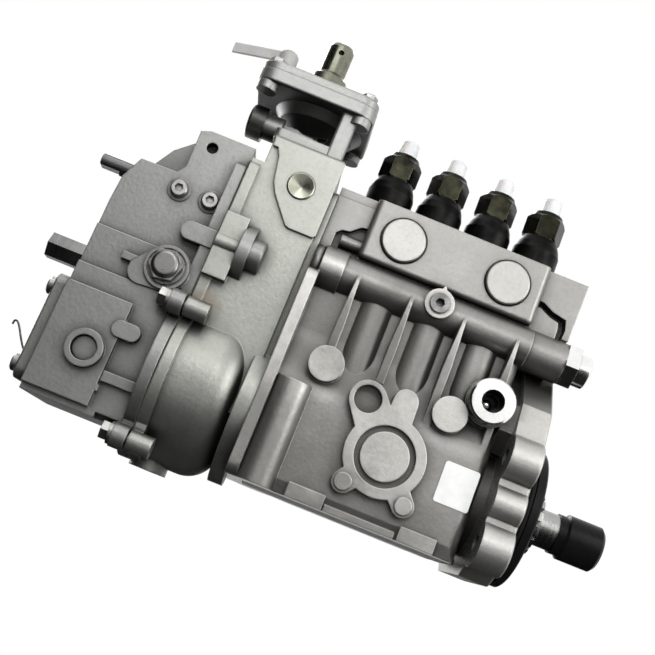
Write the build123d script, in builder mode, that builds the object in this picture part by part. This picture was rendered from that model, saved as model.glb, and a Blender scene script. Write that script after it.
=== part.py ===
from build123d import *
import math
import os

# In-line diesel injection pump with four pumping elements, a mechanical governor
# and a boost compensator. Millimetres. +X runs along the camshaft to the drive end,
# +Z is up, -Y is the side with the blanked supply-pump pad. The origin lies on the
# camshaft axis in the face of the mounting flange.

os.makedirs("parts", exist_ok=True)

# Row of pumping elements
pitch = 35.0
element_count = 4
first_element = 36.0
running_gap = 0.05
seat_gap = 0.3

# Pump housing
housing_top = 150.0
block_height = 40.0
block_half = 43.0
block_end = 6.0
wall_half = 37.0
crank_half = 48.0
crank_shoulder = 22.0
base_depth = 43.5
governor_margin = 31.0
drive_wall = 27.0
wing_half = 36.0
rack_height = 97.0
rack_side = 32.0
rack_boss_r = 13.3
rib_width = 5.0
rib_feet = (56.0, 22.0, 40.0, 50.0)
column_r = 15.0
column_foot = 38.0
column_rise = 4.0
half_round_r = 12.0
drive_end_r = 8.0
neck_r = 36.0
boss_r = 11.0
inlet_r = 14.2
inlet_bore_r = 6.7
pad_face = 54.0
pad_r = 25.0
pad_groove_r = 18.5
pad_disc_r = 14.8

# Mounting flange
flange_thickness = 19.5
flange_lobe_r = 15.0
flange_bottom = 48.0
flange_top = 94.0
bolt_span_y = 94.0
bolt_span_z = 54.0
bolt_hole_r = 5.25
pilot_r = 46.0
pilot_length = 12.0
hub_height = 4.0
ring_nut_r = 20.3
ring_nut_width = 4.8
ring_nut_slots = 14

# Camshaft, tappets and elements
shaft_r = 12.0
cam_base_r = 15.0
cam_nose_r = 5.0
cam_nose_out = 18.0
cam_width = 12.0
roller_r = 9.0
tappet_r = 13.0
tappet_height = 36.0
plunger_r = 6.0
barrel_r = 12.0
barrel_neck_r = 9.5
bearing_r = 26.0
shaft_out = 56.5
drive_cap_length = 30.0
drive_cap_r = 14.8
rack_travel = 10.0

# Delivery valve holders
holder_r = 16.0
holder_body = 29.6
holder_hex_r = 13.6
holder_hex_height = 15.5
crown_height = 3.2
white_cap_height = 11.5

# Governor
front_length = 59.0
rear_length = 72.0
governor_top = 165.0
governor_half = 42.0
drum_r = 54.0
drum_length = 50.0
bell_round = 20.0
side_plug_r = 8.8
side_plug_in = 23.8
side_plug_drop = 27.5
wall = 5.0
rear_half = 36.0
rear_top = 152.0
box_half = 46.0
box_height = 88.5
lug_z = 38.7
low_lug_z = -47.0
end_plate_thickness = 7.5
weight_pivot = 30.0
upper_shaft_z = 116.0
upper_shaft_r = 5.4
lower_shaft_z = 50.5
lower_hex_r = 9.0
shaft_side = -5.0
lever_half = 5.0
lever_length = 30.0

# Boost compensator
comp_x = -209.5
comp_length = 81.0
comp_width = 80.0
comp_rise = 32.0
comp_plate = 9.0
comp_cover = 6.0
stub_r = 9.0
stub_height = 45.0

# Derived positions
elements = [-(first_element + k * pitch) for k in range(element_count)]
row_centre = (elements[0] + elements[-1]) / 2
block_length = (element_count - 1) * pitch + 2 * block_end
block_bottom = housing_top - block_height
seam_x = elements[-1] - governor_margin
rear_seam_x = seam_x - front_length
side_plug_x = seam_x - side_plug_in
side_plug_z = governor_top - side_plug_drop
back_x = rear_seam_x - rear_length
cam_tip = cam_nose_out + cam_nose_r
roller_z = cam_tip + roller_r + seat_gap
tunnel_r = cam_tip + 4
tappet_z0 = cam_tip + 1.2
tappet_z1 = tappet_z0 + tappet_height
sleeve_r = barrel_neck_r + 3.5
chamber_r = tappet_r + 2
chamber_top = rack_height + 11
spring_top = rack_height - 12
barrel_top = block_bottom + 28
comp_z0 = governor_top + comp_rise
comp_seam = comp_z0 + comp_plate
comp_top = comp_seam + comp_cover
hatch_half = tunnel_r - 5
hatch_x0 = elements[-1] - 12
hatch_x1 = elements[0] + 6
pad_x = row_centre + 0.7
pad_ears = [(pad_x - 18, -23.5, 6.8), (pad_x + 20, -24, 6.8), (pad_x + 0.3, 34, 7.6)]
big_ear = (pad_x - 21.4, 27.2, 11.5)
inlet_x = elements[0] - 3.4
inlet_z = 53.6
vent_x = row_centre - 0.7
vent_z = rack_height + 2.3
bearing_x = -flange_thickness / 2
gallery_side = rack_side + 3
ring_nut_x = pilot_length + hub_height + seat_gap
hex_z0 = housing_top + holder_body
hex_z1 = hex_z0 + holder_hex_height
crown_z = hex_z1 + crown_height
flange_half = bolt_span_y / 2 + flange_lobe_r
flange_corner_z = bolt_span_z / 2 + flange_lobe_r

# Cast rib below the rack gallery: one fin across both sides, its tips run out on the gallery
def make_rib(x, foot):
    tip = gallery_side + 12.5
    with BuildPart() as rib:
        with BuildSketch(Plane.YZ.offset(x - rib_width / 2)):
            with BuildLine():
                Polyline(
                    (-tip + 1.5, foot),
                    (-tip - 1.1, rack_height - 12),
                    (-tip - 1.3, rack_height - 4),
                    (-tip + 0.6, rack_height + 3),
                    (tip - 0.6, rack_height + 3),
                    (tip + 1.3, rack_height - 4),
                    (tip + 1.1, rack_height - 12),
                    (tip - 1.5, foot),
                    close=True,
                )
            make_face()
        extrude(amount=rib_width)
        with BuildSketch(Plane.XZ.offset(-tip - 5)):
            with BuildLine():
                Polyline(
                    (x - rib_width / 2 - 0.1, foot - 1),
                    (x - rib_width / 2 - 0.1, rack_height - 34),
                    (x - 0.7, rack_height + 4),
                    (x + 0.7, rack_height + 4),
                    (x + rib_width / 2 + 0.1, rack_height - 34),
                    (x + rib_width / 2 + 0.1, foot - 1),
                    close=True,
                )
            make_face()
        extrude(amount=2 * tip + 10, mode=Mode.INTERSECT)
    return rib.part


# Pump housing: crankcase, wall, block, flange and the cast bosses
with BuildPart() as pump_housing:
    with BuildSketch(Plane.YZ.offset(seam_x)):
        with BuildLine():
            Polyline(
                (-crank_half + 2, -base_depth),
                (-crank_half, -base_depth + 8),
                (-crank_half, crank_shoulder),
                (-wall_half, crank_shoulder + 28),
                (-wall_half, housing_top - 6),
                (wall_half, housing_top - 6),
                (wall_half, crank_shoulder + 28),
                (crank_half, crank_shoulder),
                (crank_half, -base_depth + 8),
                (crank_half - 2, -base_depth),
                close=True,
            )
        make_face()
    extrude(amount=-drive_wall - seam_x)
    shoulder = pump_housing.edges().filter_by(Axis.X)
    fillet(shoulder.filter_by_position(Axis.Z, crank_shoulder - 1, crank_shoulder + 1), 36)
    foot_line = pump_housing.edges().filter_by(Axis.X)
    fillet(foot_line.filter_by_position(Axis.Z, crank_shoulder + 27, crank_shoulder + 29), 34)
    drive_end = pump_housing.faces().sort_by(Axis.X)[-1].edges()
    fillet(drive_end.filter_by_position(Axis.Z, -base_depth + 7, housing_top - 12), drive_end_r)
    # raised block that carries the elements
    with BuildSketch(Plane.XY.offset(block_bottom)):
        with Locations((row_centre, 0)):
            RectangleRounded(block_length, 2 * block_half, 4)
    extrude(amount=block_height)
    block_low = pump_housing.edges().filter_by_position(Axis.Z, block_bottom - 1, block_bottom + 1)
    fillet(block_low.filter_by(Axis.X).sort_by(Axis.Y)[0], 3)
    # wings of the top deck
    with BuildSketch(Plane.XZ.offset(-wing_half)):
        with BuildLine():
            Polyline(
                (seam_x, housing_top),
                (-3, housing_top),
                (-4.2, block_bottom + 1),
                (-8.6, block_bottom + 1),
                (-8, block_bottom + 7),
                (-9.6, block_bottom + 13.5),
                (-19, block_bottom + 15.5),
                (-26, block_bottom + 19),
                (-36, block_bottom + 20),
                (elements[-1] - 4, block_bottom + 20),
                (seam_x + 8, block_bottom + 10),
                (seam_x, block_bottom + 10),
                close=True,
            )
        make_face()
    extrude(amount=2 * wing_half)
    # strap from the block down to the end boss of the rack, with a web behind it
    with BuildSketch(Plane.XZ.offset(wing_half - 9)):
        with BuildLine():
            Polyline(
                (-drive_wall - 5, block_bottom + 16),
                (-drive_wall, block_bottom + 16),
                (-20, block_bottom + 12.6),
                (-13, block_bottom + 11),
                (-11.6, block_bottom + 6),
                (-11.6, block_bottom - 3),
                (-drive_wall - 5, block_bottom - 3),
                close=True,
            )
        make_face()
    extrude(amount=9.6, taper=8)
    with Locations((-(drive_wall + 8) / 2, 0, block_bottom - 1)):
        Box(drive_wall - 6, 2 * wing_half - 17, 44)
    # pocket under the left wing, with a short lug on its floor
    with BuildSketch(Plane.XZ.offset(wall_half - 5)):
        with BuildLine():
            Polyline(
                (seam_x + 7.2, block_bottom - 2),
                (seam_x + 7, block_bottom + 10.3),
                (seam_x + 10, block_bottom + 13.4),
                (seam_x + 15, block_bottom + 14.3),
                (seam_x + 21, block_bottom + 19.5),
                (seam_x + 25, block_bottom + 20.2),
                (seam_x + 25.5, block_bottom - 2),
                close=True,
            )
        make_face()
    extrude(amount=8, mode=Mode.SUBTRACT)
    with Locations(Location((seam_x + 19, -wall_half + 3.2, block_bottom + 7.5), (0, 90, 0))):
        Cylinder(4.6, 15)
    # rack gallery and its end boss
    with BuildSketch(Plane.YZ.offset(seam_x + 5)):
        with Locations((-gallery_side, rack_height)):
            Circle(rack_boss_r - 0.8)
    extrude(amount=-drive_wall - seam_x - 5)
    with BuildSketch(Plane.YZ.offset(seam_x + 6)):
        with Locations((-gallery_side, rack_height)):
            Circle(rack_boss_r + 0.8)
    extrude(amount=14.6)
    with BuildSketch(Plane.YZ.offset(-drive_wall - 2)):
        with Locations((-rack_side, rack_height)):
            Circle(rack_boss_r)
    extrude(amount=drive_wall - 1)
    # ribs below the gallery, one at each element, on both sides
    for k, x in enumerate(elements):
        add(make_rib(x, rib_feet[k % len(rib_feet)]))
    # rounded columns between the ribs, running out on the shoulder
    for k in range(element_count - 1):
        for side in (-1, 1):
            with Locations((elements[k] - pitch / 2, side * (wall_half + column_rise - column_r), column_foot)):
                Cylinder(column_r, rack_height - column_foot, align=(Align.CENTER, Align.CENTER, Align.MIN))
    # gusset under the fuel inlet
    with Locations((elements[0] + 2.5, -crank_half / 2 + 2, 30)):
        Box(4, crank_half, 26)
    # flange strip and half-round column at the governor joint
    with BuildSketch(Plane.YZ.offset(seam_x)):
        with Locations((0, (rack_height - 5 - base_depth) / 2)):
            RectangleRounded(2 * crank_half + 6, rack_height - 5 + base_depth, 8)
    extrude(amount=7)
    with BuildSketch(Plane.XY.offset(-base_depth)):
        for side in (-1, 1):
            with Locations((seam_x + 6.5 + half_round_r, side * (crank_half - 4))):
                Circle(half_round_r)
    extrude(amount=base_depth + 21.5)
    # base rails
    with BuildSketch(Plane.XY.offset(-base_depth)):
        with Locations((elements[-1] + 18, 0), (elements[0] - 17, 0)):
            Rectangle(23, 2 * crank_half + 5)
    extrude(amount=8.8)
    with BuildSketch(Plane.XY.offset(-base_depth)):
        with Locations((row_centre, 0)):
            Rectangle(44, 2 * crank_half + 4)
    extrude(amount=4)
    # pad of the blanked supply pump with its ears
    with BuildSketch(Plane.XZ.offset(crank_half - 8)):
        with Locations((pad_x, -1)):
            Circle(pad_r)
    extrude(amount=pad_face - crank_half + 8)
    for ex, ez, er in (*pad_ears, big_ear):
        with BuildSketch(Plane.XZ.offset(crank_half - 8)):
            with Locations((ex, ez)):
                Circle(er)
            with Locations((pad_x, -1)):
                Circle(er + 1.5)
            make_hull()
        extrude(amount=pad_face - crank_half + 8)
    with BuildSketch(Plane.XZ.offset(pad_face)):
        with Locations((pad_x, -1)):
            Circle(pad_groove_r)
            Circle(pad_disc_r, mode=Mode.SUBTRACT)
    extrude(amount=-4, mode=Mode.SUBTRACT)
    with Locations(Location((big_ear[0], -pad_face + 4, big_ear[1]), (90, 0, 0))):
        Cylinder(8.5, 8.2, mode=Mode.SUBTRACT)
    for ex, ez, er in pad_ears[:2]:
        with Locations(Location((ex, -pad_face - 0.5, ez), (90, 0, 0))):
            Cylinder(er - 1.6, 3)
    # round cast bosses
    with BuildSketch(Plane.XZ.offset(wall_half - 6)):
        with Locations((elements[-1] + 1, 38.2), (elements[0] - 24, 37.6)):
            Circle(boss_r)
    extrude(amount=pad_face - wall_half + 3)
    # boss of the fuel inlet and of the vent plug
    with BuildSketch(Plane.XZ.offset(wall_half - 6)):
        with Locations((inlet_x, inlet_z)):
            Circle(inlet_r + 0.8)
    extrude(amount=16)
    with BuildSketch(Plane.XZ.offset(wall_half)):
        with Locations((vent_x, vent_z)):
            Circle(9.4)
        with Locations((vent_x, vent_z + 6)):
            RegularPolygon(6, 3, rotation=90)
    extrude(amount=12.5)
    # raised rims of the two gallery plugs
    with BuildSketch(Plane.XZ.offset(block_half)):
        with Locations((row_centre - pitch, 126.6 + 3.2), (row_centre + pitch, 126.6 + 3.2)):
            Circle(15.0)
    extrude(amount=-3, mode=Mode.SUBTRACT)
    # neck and mounting flange
    with BuildSketch(Plane.YZ.offset(-drive_wall - 1)):
        Circle(neck_r)
        with BuildLine():
            Polyline(
                (-10, flange_top - 3),
                (-neck_r - 4, flange_corner_z + 18),
                (-neck_r - 7, flange_corner_z),
                (-neck_r + 2, flange_corner_z - 14),
                (neck_r - 2, flange_corner_z - 14),
                (neck_r + 7, flange_corner_z),
                (neck_r + 4, flange_corner_z + 18),
                (10, flange_top - 3),
                close=True,
            )
        make_face()
    extrude(amount=drive_wall + 1 - flange_thickness / 2)
    with BuildSketch(Plane.YZ.offset(-flange_thickness)) as flange_sketch:
        Circle(flange_bottom + 3)
        with BuildLine():
            Polyline(
                (-12, flange_top),
                (12, flange_top),
                (flange_half - 18, flange_corner_z + 20),
                (flange_half - 10, flange_corner_z),
                (flange_half - 7, -flange_corner_z + 12),
                (flange_half - 30, -flange_bottom),
                (30 - flange_half, -flange_bottom),
                (7 - flange_half, -flange_corner_z + 12),
                (10 - flange_half, flange_corner_z),
                (18 - flange_half, flange_corner_z + 20),
                close=True,
            )
        make_face()
        with GridLocations(bolt_span_y, bolt_span_z, 2, 2):
            Circle(flange_lobe_r)
        with Locations((bolt_span_y / 2, -1), (-bolt_span_y / 2, -1)):
            Circle(flange_lobe_r - 3)
        with Locations((0, -flange_bottom - 10)):
            Rectangle(200, 20, mode=Mode.SUBTRACT)
    extrude(amount=flange_thickness)
    rim = pump_housing.faces().sort_by(Axis.X)[-1].outer_wire().edges()
    chamfer(rim, 1.0)
    # end boss of the rack runs past the flange above its rim
    with BuildSketch(Plane.YZ):
        with GridLocations(bolt_span_y, bolt_span_z, 2, 2):
            Circle(bolt_hole_r)
    extrude(amount=-flange_thickness - 1, mode=Mode.SUBTRACT)
    with BuildSketch(Plane.YZ.offset(-flange_thickness)):
        with GridLocations(bolt_span_y, bolt_span_z, 2, 2):
            Circle(bolt_hole_r + 4.5)
    extrude(amount=-8, mode=Mode.SUBTRACT)
    # camshaft tunnel, bearing seats and governor opening
    with BuildSketch(Plane.YZ.offset(hatch_x0)):
        Circle(tunnel_r)
    extrude(amount=hatch_x1 - hatch_x0, mode=Mode.SUBTRACT)
    with BuildSketch(Plane.YZ.offset(seam_x)):
        Circle(bearing_r)
    extrude(amount=-seam_x, mode=Mode.SUBTRACT)
    with BuildSketch(Plane.XY.offset(-base_depth)):
        with Locations(((hatch_x0 + hatch_x1) / 2, 0)):
            RectangleRounded(hatch_x1 - hatch_x0, 2 * hatch_half, 6)
    extrude(amount=base_depth, mode=Mode.SUBTRACT)
    with BuildSketch(Plane.XY.offset(-base_depth)):
        with Locations(((hatch_x0 + hatch_x1) / 2, 0)):
            RectangleRounded(hatch_x1 - hatch_x0 + 16, 2 * hatch_half + 16, 10)
    extrude(amount=4, mode=Mode.SUBTRACT)
    # tappet, spring and barrel bores
    with BuildSketch(Plane.XY.offset(0)):
        for x in elements:
            with Locations((x, 0)):
                Circle(tappet_r + running_gap)
    extrude(amount=housing_top - 20, mode=Mode.SUBTRACT)
    with BuildSketch(Plane.XY.offset(tappet_z1 - 4)):
        for x in elements:
            with Locations((x, 0)):
                Circle(chamber_r)
    extrude(amount=chamber_top - tappet_z1 + 4, mode=Mode.SUBTRACT)
    with BuildSketch(Plane.XY.offset(housing_top - 21)):
        for x in elements:
            with Locations((x, 0)):
                Circle(barrel_r + 1 + running_gap)
    extrude(amount=22, mode=Mode.SUBTRACT)
    # rack bore and the windows for the sleeve levers
    with BuildSketch(Plane.YZ.offset(seam_x)):
        with Locations((-rack_side, rack_height)):
            Circle(6.2)
    extrude(amount=-seam_x, mode=Mode.SUBTRACT)
    for x in elements:
        with Locations((x, -rack_side / 2, rack_height)):
            Box(27, rack_side, 8.4, mode=Mode.SUBTRACT)
    # fuel inlet and vent bores
    with Locations(Location((inlet_x, -42, inlet_z), (90, 0, 0))):
        Cylinder(inlet_bore_r + 0.7, 12, mode=Mode.SUBTRACT)
    with Locations(Location((vent_x, -46, vent_z), (90, 0, 0))):
        Cylinder(4.6, 8, mode=Mode.SUBTRACT)
pump_housing.part.label = "pump_housing"
export_step(pump_housing.part, "parts/pump_housing.step")

# Cover plate under the camshaft tunnel
with BuildPart() as base_cover:
    with BuildSketch(Plane.XY.offset(-base_depth)):
        with Locations(((hatch_x0 + hatch_x1) / 2, 0)):
            RectangleRounded(hatch_x1 - hatch_x0 + 15.6, 2 * hatch_half + 15.6, 9.8)
    extrude(amount=3.7)
    chamfer(base_cover.faces().sort_by(Axis.Z)[0].outer_wire().edges(), 0.6)
base_cover.part.label = "base_cover"
export_step(base_cover.part, "parts/base_cover.step")


# Delivery valve holder: round body, hexagon with a domed crown, hollow inside
def make_holder(x):
    with BuildPart() as holder:
        with BuildSketch(Plane.XZ.shift_origin((x, 0, 0))):
            with BuildLine():
                Polyline(
                    (0, barrel_top + seat_gap),
                    (barrel_r + 0.95, barrel_top + seat_gap),
                    (barrel_r + 0.95, housing_top),
                    (holder_r, housing_top),
                    (holder_r, hex_z0 - 10),
                    (holder_r - 1.6, hex_z0 - 5),
                    (holder_hex_r - 1.6, hex_z0),
                    (0, hex_z0),
                    close=True,
                )
            make_face()
        revolve(axis=Axis((x, 0, 0), (0, 0, 1)))
        with BuildSketch(Plane.XY.offset(hex_z0)):
            with Locations((x, 0)):
                RegularPolygon(holder_hex_r, 6)
        extrude(amount=holder_hex_height)
        with BuildSketch(Plane.XY.offset(hex_z1)):
            with Locations((x, 0)):
                Circle(holder_hex_r - 2.2)
        extrude(amount=crown_height, taper=24)
        # corners of the hexagon turned off, then the bores
        with BuildSketch(Plane.XZ.shift_origin((x, 0, 0))):
            with BuildLine():
                Polyline(
                    (0, barrel_top),
                    (holder_r + 5, barrel_top),
                    (holder_r + 5, hex_z0),
                    (holder_hex_r - 1.1, hex_z0),
                    (holder_hex_r + 0.3, hex_z0 + 1.6),
                    (holder_hex_r + 0.3, hex_z1 - 1.9),
                    (holder_hex_r - 1.9, hex_z1),
                    (holder_hex_r - 1.9, crown_z + 1),
                    (0, crown_z + 1),
                    close=True,
                )
            make_face()
        revolve(axis=Axis((x, 0, 0), (0, 0, 1)), mode=Mode.INTERSECT)
        with Locations((x, 0, barrel_top + 12)):
            Cylinder(8.1, 24, mode=Mode.SUBTRACT)
        with Locations((x, 0, barrel_top + 46)):
            Cylinder(2.6, 60, mode=Mode.SUBTRACT)
    return holder.part


for k, x in enumerate(elements):
    holder_part = make_holder(x)
    holder_part.label = f"valve_holder_{k + 1}"
    export_step(holder_part, f"parts/valve_holder_{k + 1}.step")

# White transport caps on the outlets
with BuildPart() as outlet_caps:
    with BuildSketch(Plane.XY.offset(crown_z)):
        for x in elements:
            with Locations((x, 0)):
                Circle(6.9)
    extrude(amount=white_cap_height, taper=4)
    fillet(outlet_caps.edges().group_by(Axis.Z)[-1], 1.2)
outlet_caps.part.label = "outlet_caps"
export_step(outlet_caps.part, "parts/outlet_caps.step")

# Delivery valves inside the holders
with BuildPart() as delivery_valves:
    with BuildSketch(Plane.XY.offset(barrel_top + seat_gap)):
        for x in elements:
            with Locations((x, 0)):
                Circle(7.9)
                Circle(2, mode=Mode.SUBTRACT)
    extrude(amount=14)
    with BuildSketch(Plane.XY.offset(barrel_top + seat_gap + 14)):
        for x in elements:
            with Locations((x, 0)):
                Circle(4.5)
    extrude(amount=7)
delivery_valves.part.label = "delivery_valves"
export_step(delivery_valves.part, "parts/delivery_valves.step")

# Barrels of the four elements
with BuildPart() as barrels:
    with BuildSketch(Plane.XY.offset(spring_top)):
        for x in elements:
            with Locations((x, 0)):
                Circle(barrel_neck_r + 3)
    extrude(amount=2)
    with BuildSketch(Plane.XY.offset(spring_top)):
        for x in elements:
            with Locations((x, 0)):
                Circle(barrel_neck_r)
    extrude(amount=chamber_top - spring_top)
    with BuildSketch(Plane.XY.offset(chamber_top)):
        for x in elements:
            with Locations((x, 0)):
                Circle(barrel_r + 0.95)
    extrude(amount=barrel_top - chamber_top)
    with BuildSketch(Plane.XY.offset(spring_top)):
        for x in elements:
            with Locations((x, 0)):
                Circle(plunger_r + running_gap)
    extrude(amount=barrel_top - spring_top, mode=Mode.SUBTRACT)
barrels.part.label = "barrels"
export_step(barrels.part, "parts/barrels.step")


# Plunger with its foot
def make_plunger(x):
    with BuildPart() as plunger:
        with BuildSketch(Plane.XY.offset(tappet_z1)):
            with Locations((x, 0)):
                Circle(plunger_r + 4.5)
        extrude(amount=2)
        with BuildSketch(Plane.XY.offset(tappet_z1 + 2)):
            with Locations((x, 0)):
                Circle(plunger_r)
        extrude(amount=barrel_top - tappet_z1 - 6)
        with Locations((x + plunger_r, 0, barrel_top - 12)):
            Box(1.6, 2.4, 12, mode=Mode.SUBTRACT)
    return plunger.part


# Roller tappet: slotted body with its roller and pin
def make_tappet(x):
    with BuildPart() as tappet:
        with BuildSketch(Plane.XY.offset(tappet_z0)):
            with Locations((x, 0)):
                Circle(tappet_r)
        extrude(amount=tappet_height)
        with Locations((x, 0, tappet_z0 + 10)):
            Box(cam_width + 1.2, 2 * tappet_r + 2, 21, mode=Mode.SUBTRACT)
        with Locations(Location((x, 0, roller_z), (0, 90, 0))):
            Cylinder(3, 2 * tappet_r - 3)
            Cylinder(roller_r, cam_width)
    return tappet.part


# Plunger spring, drawn as its envelope
def make_spring(x):
    with BuildPart() as spring:
        with BuildSketch(Plane.XY.offset(tappet_z1 + 2.2)):
            with Locations((x, 0)):
                Circle(tappet_r - 0.6)
                Circle(tappet_r - 2.6, mode=Mode.SUBTRACT)
        extrude(amount=spring_top - tappet_z1 - 2.4)
    return spring.part


# Control sleeve with the lever that follows the rack
def make_sleeve(x):
    with BuildPart() as sleeve:
        with BuildSketch(Plane.XY.offset(rack_height - 9)):
            with Locations((x, 0)):
                Circle(sleeve_r)
        extrude(amount=17)
        with Locations(Location((x, -rack_side / 2 - 3, rack_height), (90, 0, 0))):
            Cylinder(2.5, rack_side - 8)
        with Locations((x, 0, rack_height)):
            Cylinder(barrel_neck_r + running_gap, 20, mode=Mode.SUBTRACT)
    return sleeve.part


for k, x in enumerate(elements):
    plunger_part = make_plunger(x)
    plunger_part.label = f"plunger_{k + 1}"
    export_step(plunger_part, f"parts/plunger_{k + 1}.step")
    tappet_part = make_tappet(x)
    tappet_part.label = f"roller_tappet_{k + 1}"
    export_step(tappet_part, f"parts/roller_tappet_{k + 1}.step")
    spring_part = make_spring(x)
    spring_part.label = f"plunger_spring_{k + 1}"
    export_step(spring_part, f"parts/plunger_spring_{k + 1}.step")
    sleeve_part = make_sleeve(x)
    sleeve_part.label = f"control_sleeve_{k + 1}"
    export_step(sleeve_part, f"parts/control_sleeve_{k + 1}.step")

# Control rack with a notch for each sleeve lever
rack_x0 = seam_x - 14
rack_x1 = -rack_travel / 2 + 4
with BuildPart() as control_rack:
    with Locations(((rack_x0 + rack_x1) / 2, -rack_side, rack_height)):
        Box(rack_x1 - rack_x0, 8, 8)
    for x in elements:
        with Locations((x, -rack_side + 2.6, rack_height)):
            Box(5.8, 6, 9, mode=Mode.SUBTRACT)
control_rack.part.label = "control_rack"
export_step(control_rack.part, "parts/control_rack.step")

# Camshaft: lobes a quarter turn apart, flyweight tail and drive taper
tail_x = rear_seam_x - 12
carrier_x = seam_x - 10
with BuildPart() as camshaft:
    with BuildSketch(Plane.YZ.offset(carrier_x)):
        Circle(shaft_r)
    extrude(amount=shaft_out - 18 - carrier_x)
    with BuildSketch(Plane.YZ.offset(shaft_out - 18)):
        Circle(shaft_r)
    extrude(amount=18, taper=5)
    with BuildSketch(Plane.YZ.offset(tail_x)):
        Circle(8)
    extrude(amount=carrier_x - tail_x)
    for k, x in enumerate(elements):
        angle = math.radians(45 + 90 * (0, 2, 1, 3)[k % 4])
        with BuildSketch(Plane.YZ.offset(x - cam_width / 2)):
            Circle(cam_base_r)
            with Locations((cam_nose_out * math.cos(angle), cam_nose_out * math.sin(angle))):
                Circle(cam_nose_r)
            make_hull()
        extrude(amount=cam_width)
    chamfer(camshaft.faces().sort_by(Axis.X)[0].edges(), 1)
    # slotted ring nut in front of the pilot
    with BuildSketch(Plane.YZ.offset(ring_nut_x)):
        Circle(ring_nut_r)
        with PolarLocations(ring_nut_r, ring_nut_slots):
            Rectangle(5.2, 3.4, mode=Mode.SUBTRACT)
    extrude(amount=ring_nut_width)
    with BuildSketch(Plane.YZ.offset(ring_nut_x)):
        Circle(ring_nut_r - 3.4)
    extrude(amount=ring_nut_width + 1.2)
camshaft.part.label = "camshaft"
export_step(camshaft.part, "parts/camshaft.step")

# Camshaft bearings
with BuildPart() as bearings:
    for bx in (bearing_x - 7, seam_x + 2):
        with BuildSketch(Plane.YZ.offset(bx)):
            Circle(bearing_r - running_gap)
            Circle(shaft_r + running_gap, mode=Mode.SUBTRACT)
        extrude(amount=14)
bearings.part.label = "bearings"
export_step(bearings.part, "parts/bearings.step")

# Bearing cover: pilot of the mounting flange with a round hub
with BuildPart() as bearing_cover:
    with BuildSketch(Plane.YZ):
        Circle(pilot_r - 0.5)
        Circle(shaft_r + 1, mode=Mode.SUBTRACT)
    extrude(amount=pilot_length)
    with BuildSketch(Plane.YZ.offset(2.6)):
        Circle(pilot_r)
        Circle(pilot_r - 4.1, mode=Mode.SUBTRACT)
    extrude(amount=3.6, mode=Mode.SUBTRACT)
    with BuildSketch(Plane.YZ.offset(-2)):
        Circle(bearing_r - running_gap)
        Circle(shaft_r + 1, mode=Mode.SUBTRACT)
    extrude(amount=2)
    chamfer(bearing_cover.faces().sort_by(Axis.X)[-1].outer_wire().edges(), 1.0)
    with BuildSketch(Plane.YZ.offset(pilot_length)):
        Circle(ring_nut_r + 2.2)
        Circle(shaft_r + 1, mode=Mode.SUBTRACT)
    extrude(amount=hub_height)
    fillet(bearing_cover.faces().sort_by(Axis.X)[-1].outer_wire().edges(), 1.5)
bearing_cover.part.label = "bearing_cover"
export_step(bearing_cover.part, "parts/bearing_cover.step")

# O-ring in the groove of the pilot
with BuildPart() as pilot_ring:
    with BuildSketch(Plane.XY):
        with Locations((4.4, pilot_r - 2.3)):
            Circle(1.75)
    revolve(axis=Axis.X)
pilot_ring.part.label = "pilot_ring"
export_step(pilot_ring.part, "parts/pilot_ring.step")

# Protective cap on the drive taper
with BuildPart() as drive_cap:
    with BuildSketch(Plane.XY):
        with BuildLine():
            cap_x = shaft_out - 21
            Polyline(
                (cap_x, shaft_r + running_gap),
                (cap_x, drive_cap_r - 1.8),
                (cap_x + 5, drive_cap_r - 1.8),
                (cap_x + 6.5, drive_cap_r),
                (cap_x + drive_cap_length - 2, drive_cap_r),
                (cap_x + drive_cap_length, drive_cap_r - 2),
                (cap_x + drive_cap_length, 0),
                (shaft_out + 2, 0),
                (shaft_out + 2, shaft_r + running_gap),
                close=True,
            )
        make_face()
    revolve(axis=Axis.X)
drive_cap.part.label = "drive_cap"
export_step(drive_cap.part, "parts/drive_cap.step")

# Cap nut that closes the rack bore
with BuildPart() as rack_cap_nut:
    with BuildSketch(Plane.YZ.offset(-3)):
        with Locations((-rack_side, rack_height)):
            RegularPolygon(rack_boss_r + 1.6, 6, rotation=12)
    extrude(amount=8.5)
    with BuildSketch(Plane.YZ.offset(5.5)):
        with Locations((-rack_side, rack_height)):
            Circle(rack_boss_r - 2.8)
    extrude(amount=9)
    with BuildSketch(Plane.YZ.offset(-3)):
        with Locations((-rack_side, rack_height)):
            Circle(6.4)
    extrude(amount=13.5, mode=Mode.SUBTRACT)
    chamfer(rack_cap_nut.faces().sort_by(Axis.X)[-1].edges(), 1)
rack_cap_nut.part.label = "rack_cap_nut"
export_step(rack_cap_nut.part, "parts/rack_cap_nut.step")

# Fuel inlet fitting with its ball
with BuildPart() as inlet_fitting:
    with BuildSketch(Plane.XZ.offset(wall_half + 10)):
        with Locations((inlet_x, inlet_z)):
            Circle(inlet_r)
            Circle(inlet_bore_r, mode=Mode.SUBTRACT)
    extrude(amount=10)
    chamfer(inlet_fitting.faces().sort_by(Axis.Y)[0].outer_wire().edges(), 1.2)
    with BuildSketch(Plane.XZ.offset(wall_half + 10)):
        with Locations((inlet_x, inlet_z)):
            Circle(inlet_bore_r + 0.5)
            Circle(inlet_bore_r - 1.4, mode=Mode.SUBTRACT)
    extrude(amount=-9)
    with BuildSketch(Plane.XZ.offset(wall_half + 1)):
        with Locations((inlet_x, inlet_z)):
            Circle(inlet_bore_r)
            Circle(2.6, mode=Mode.SUBTRACT)
    extrude(amount=3)
    with Locations((inlet_x - 1.2, -wall_half - 6.6, inlet_z - 1.8)):
        Sphere(3.9)
inlet_fitting.part.label = "inlet_fitting"
export_step(inlet_fitting.part, "parts/inlet_fitting.step")

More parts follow.
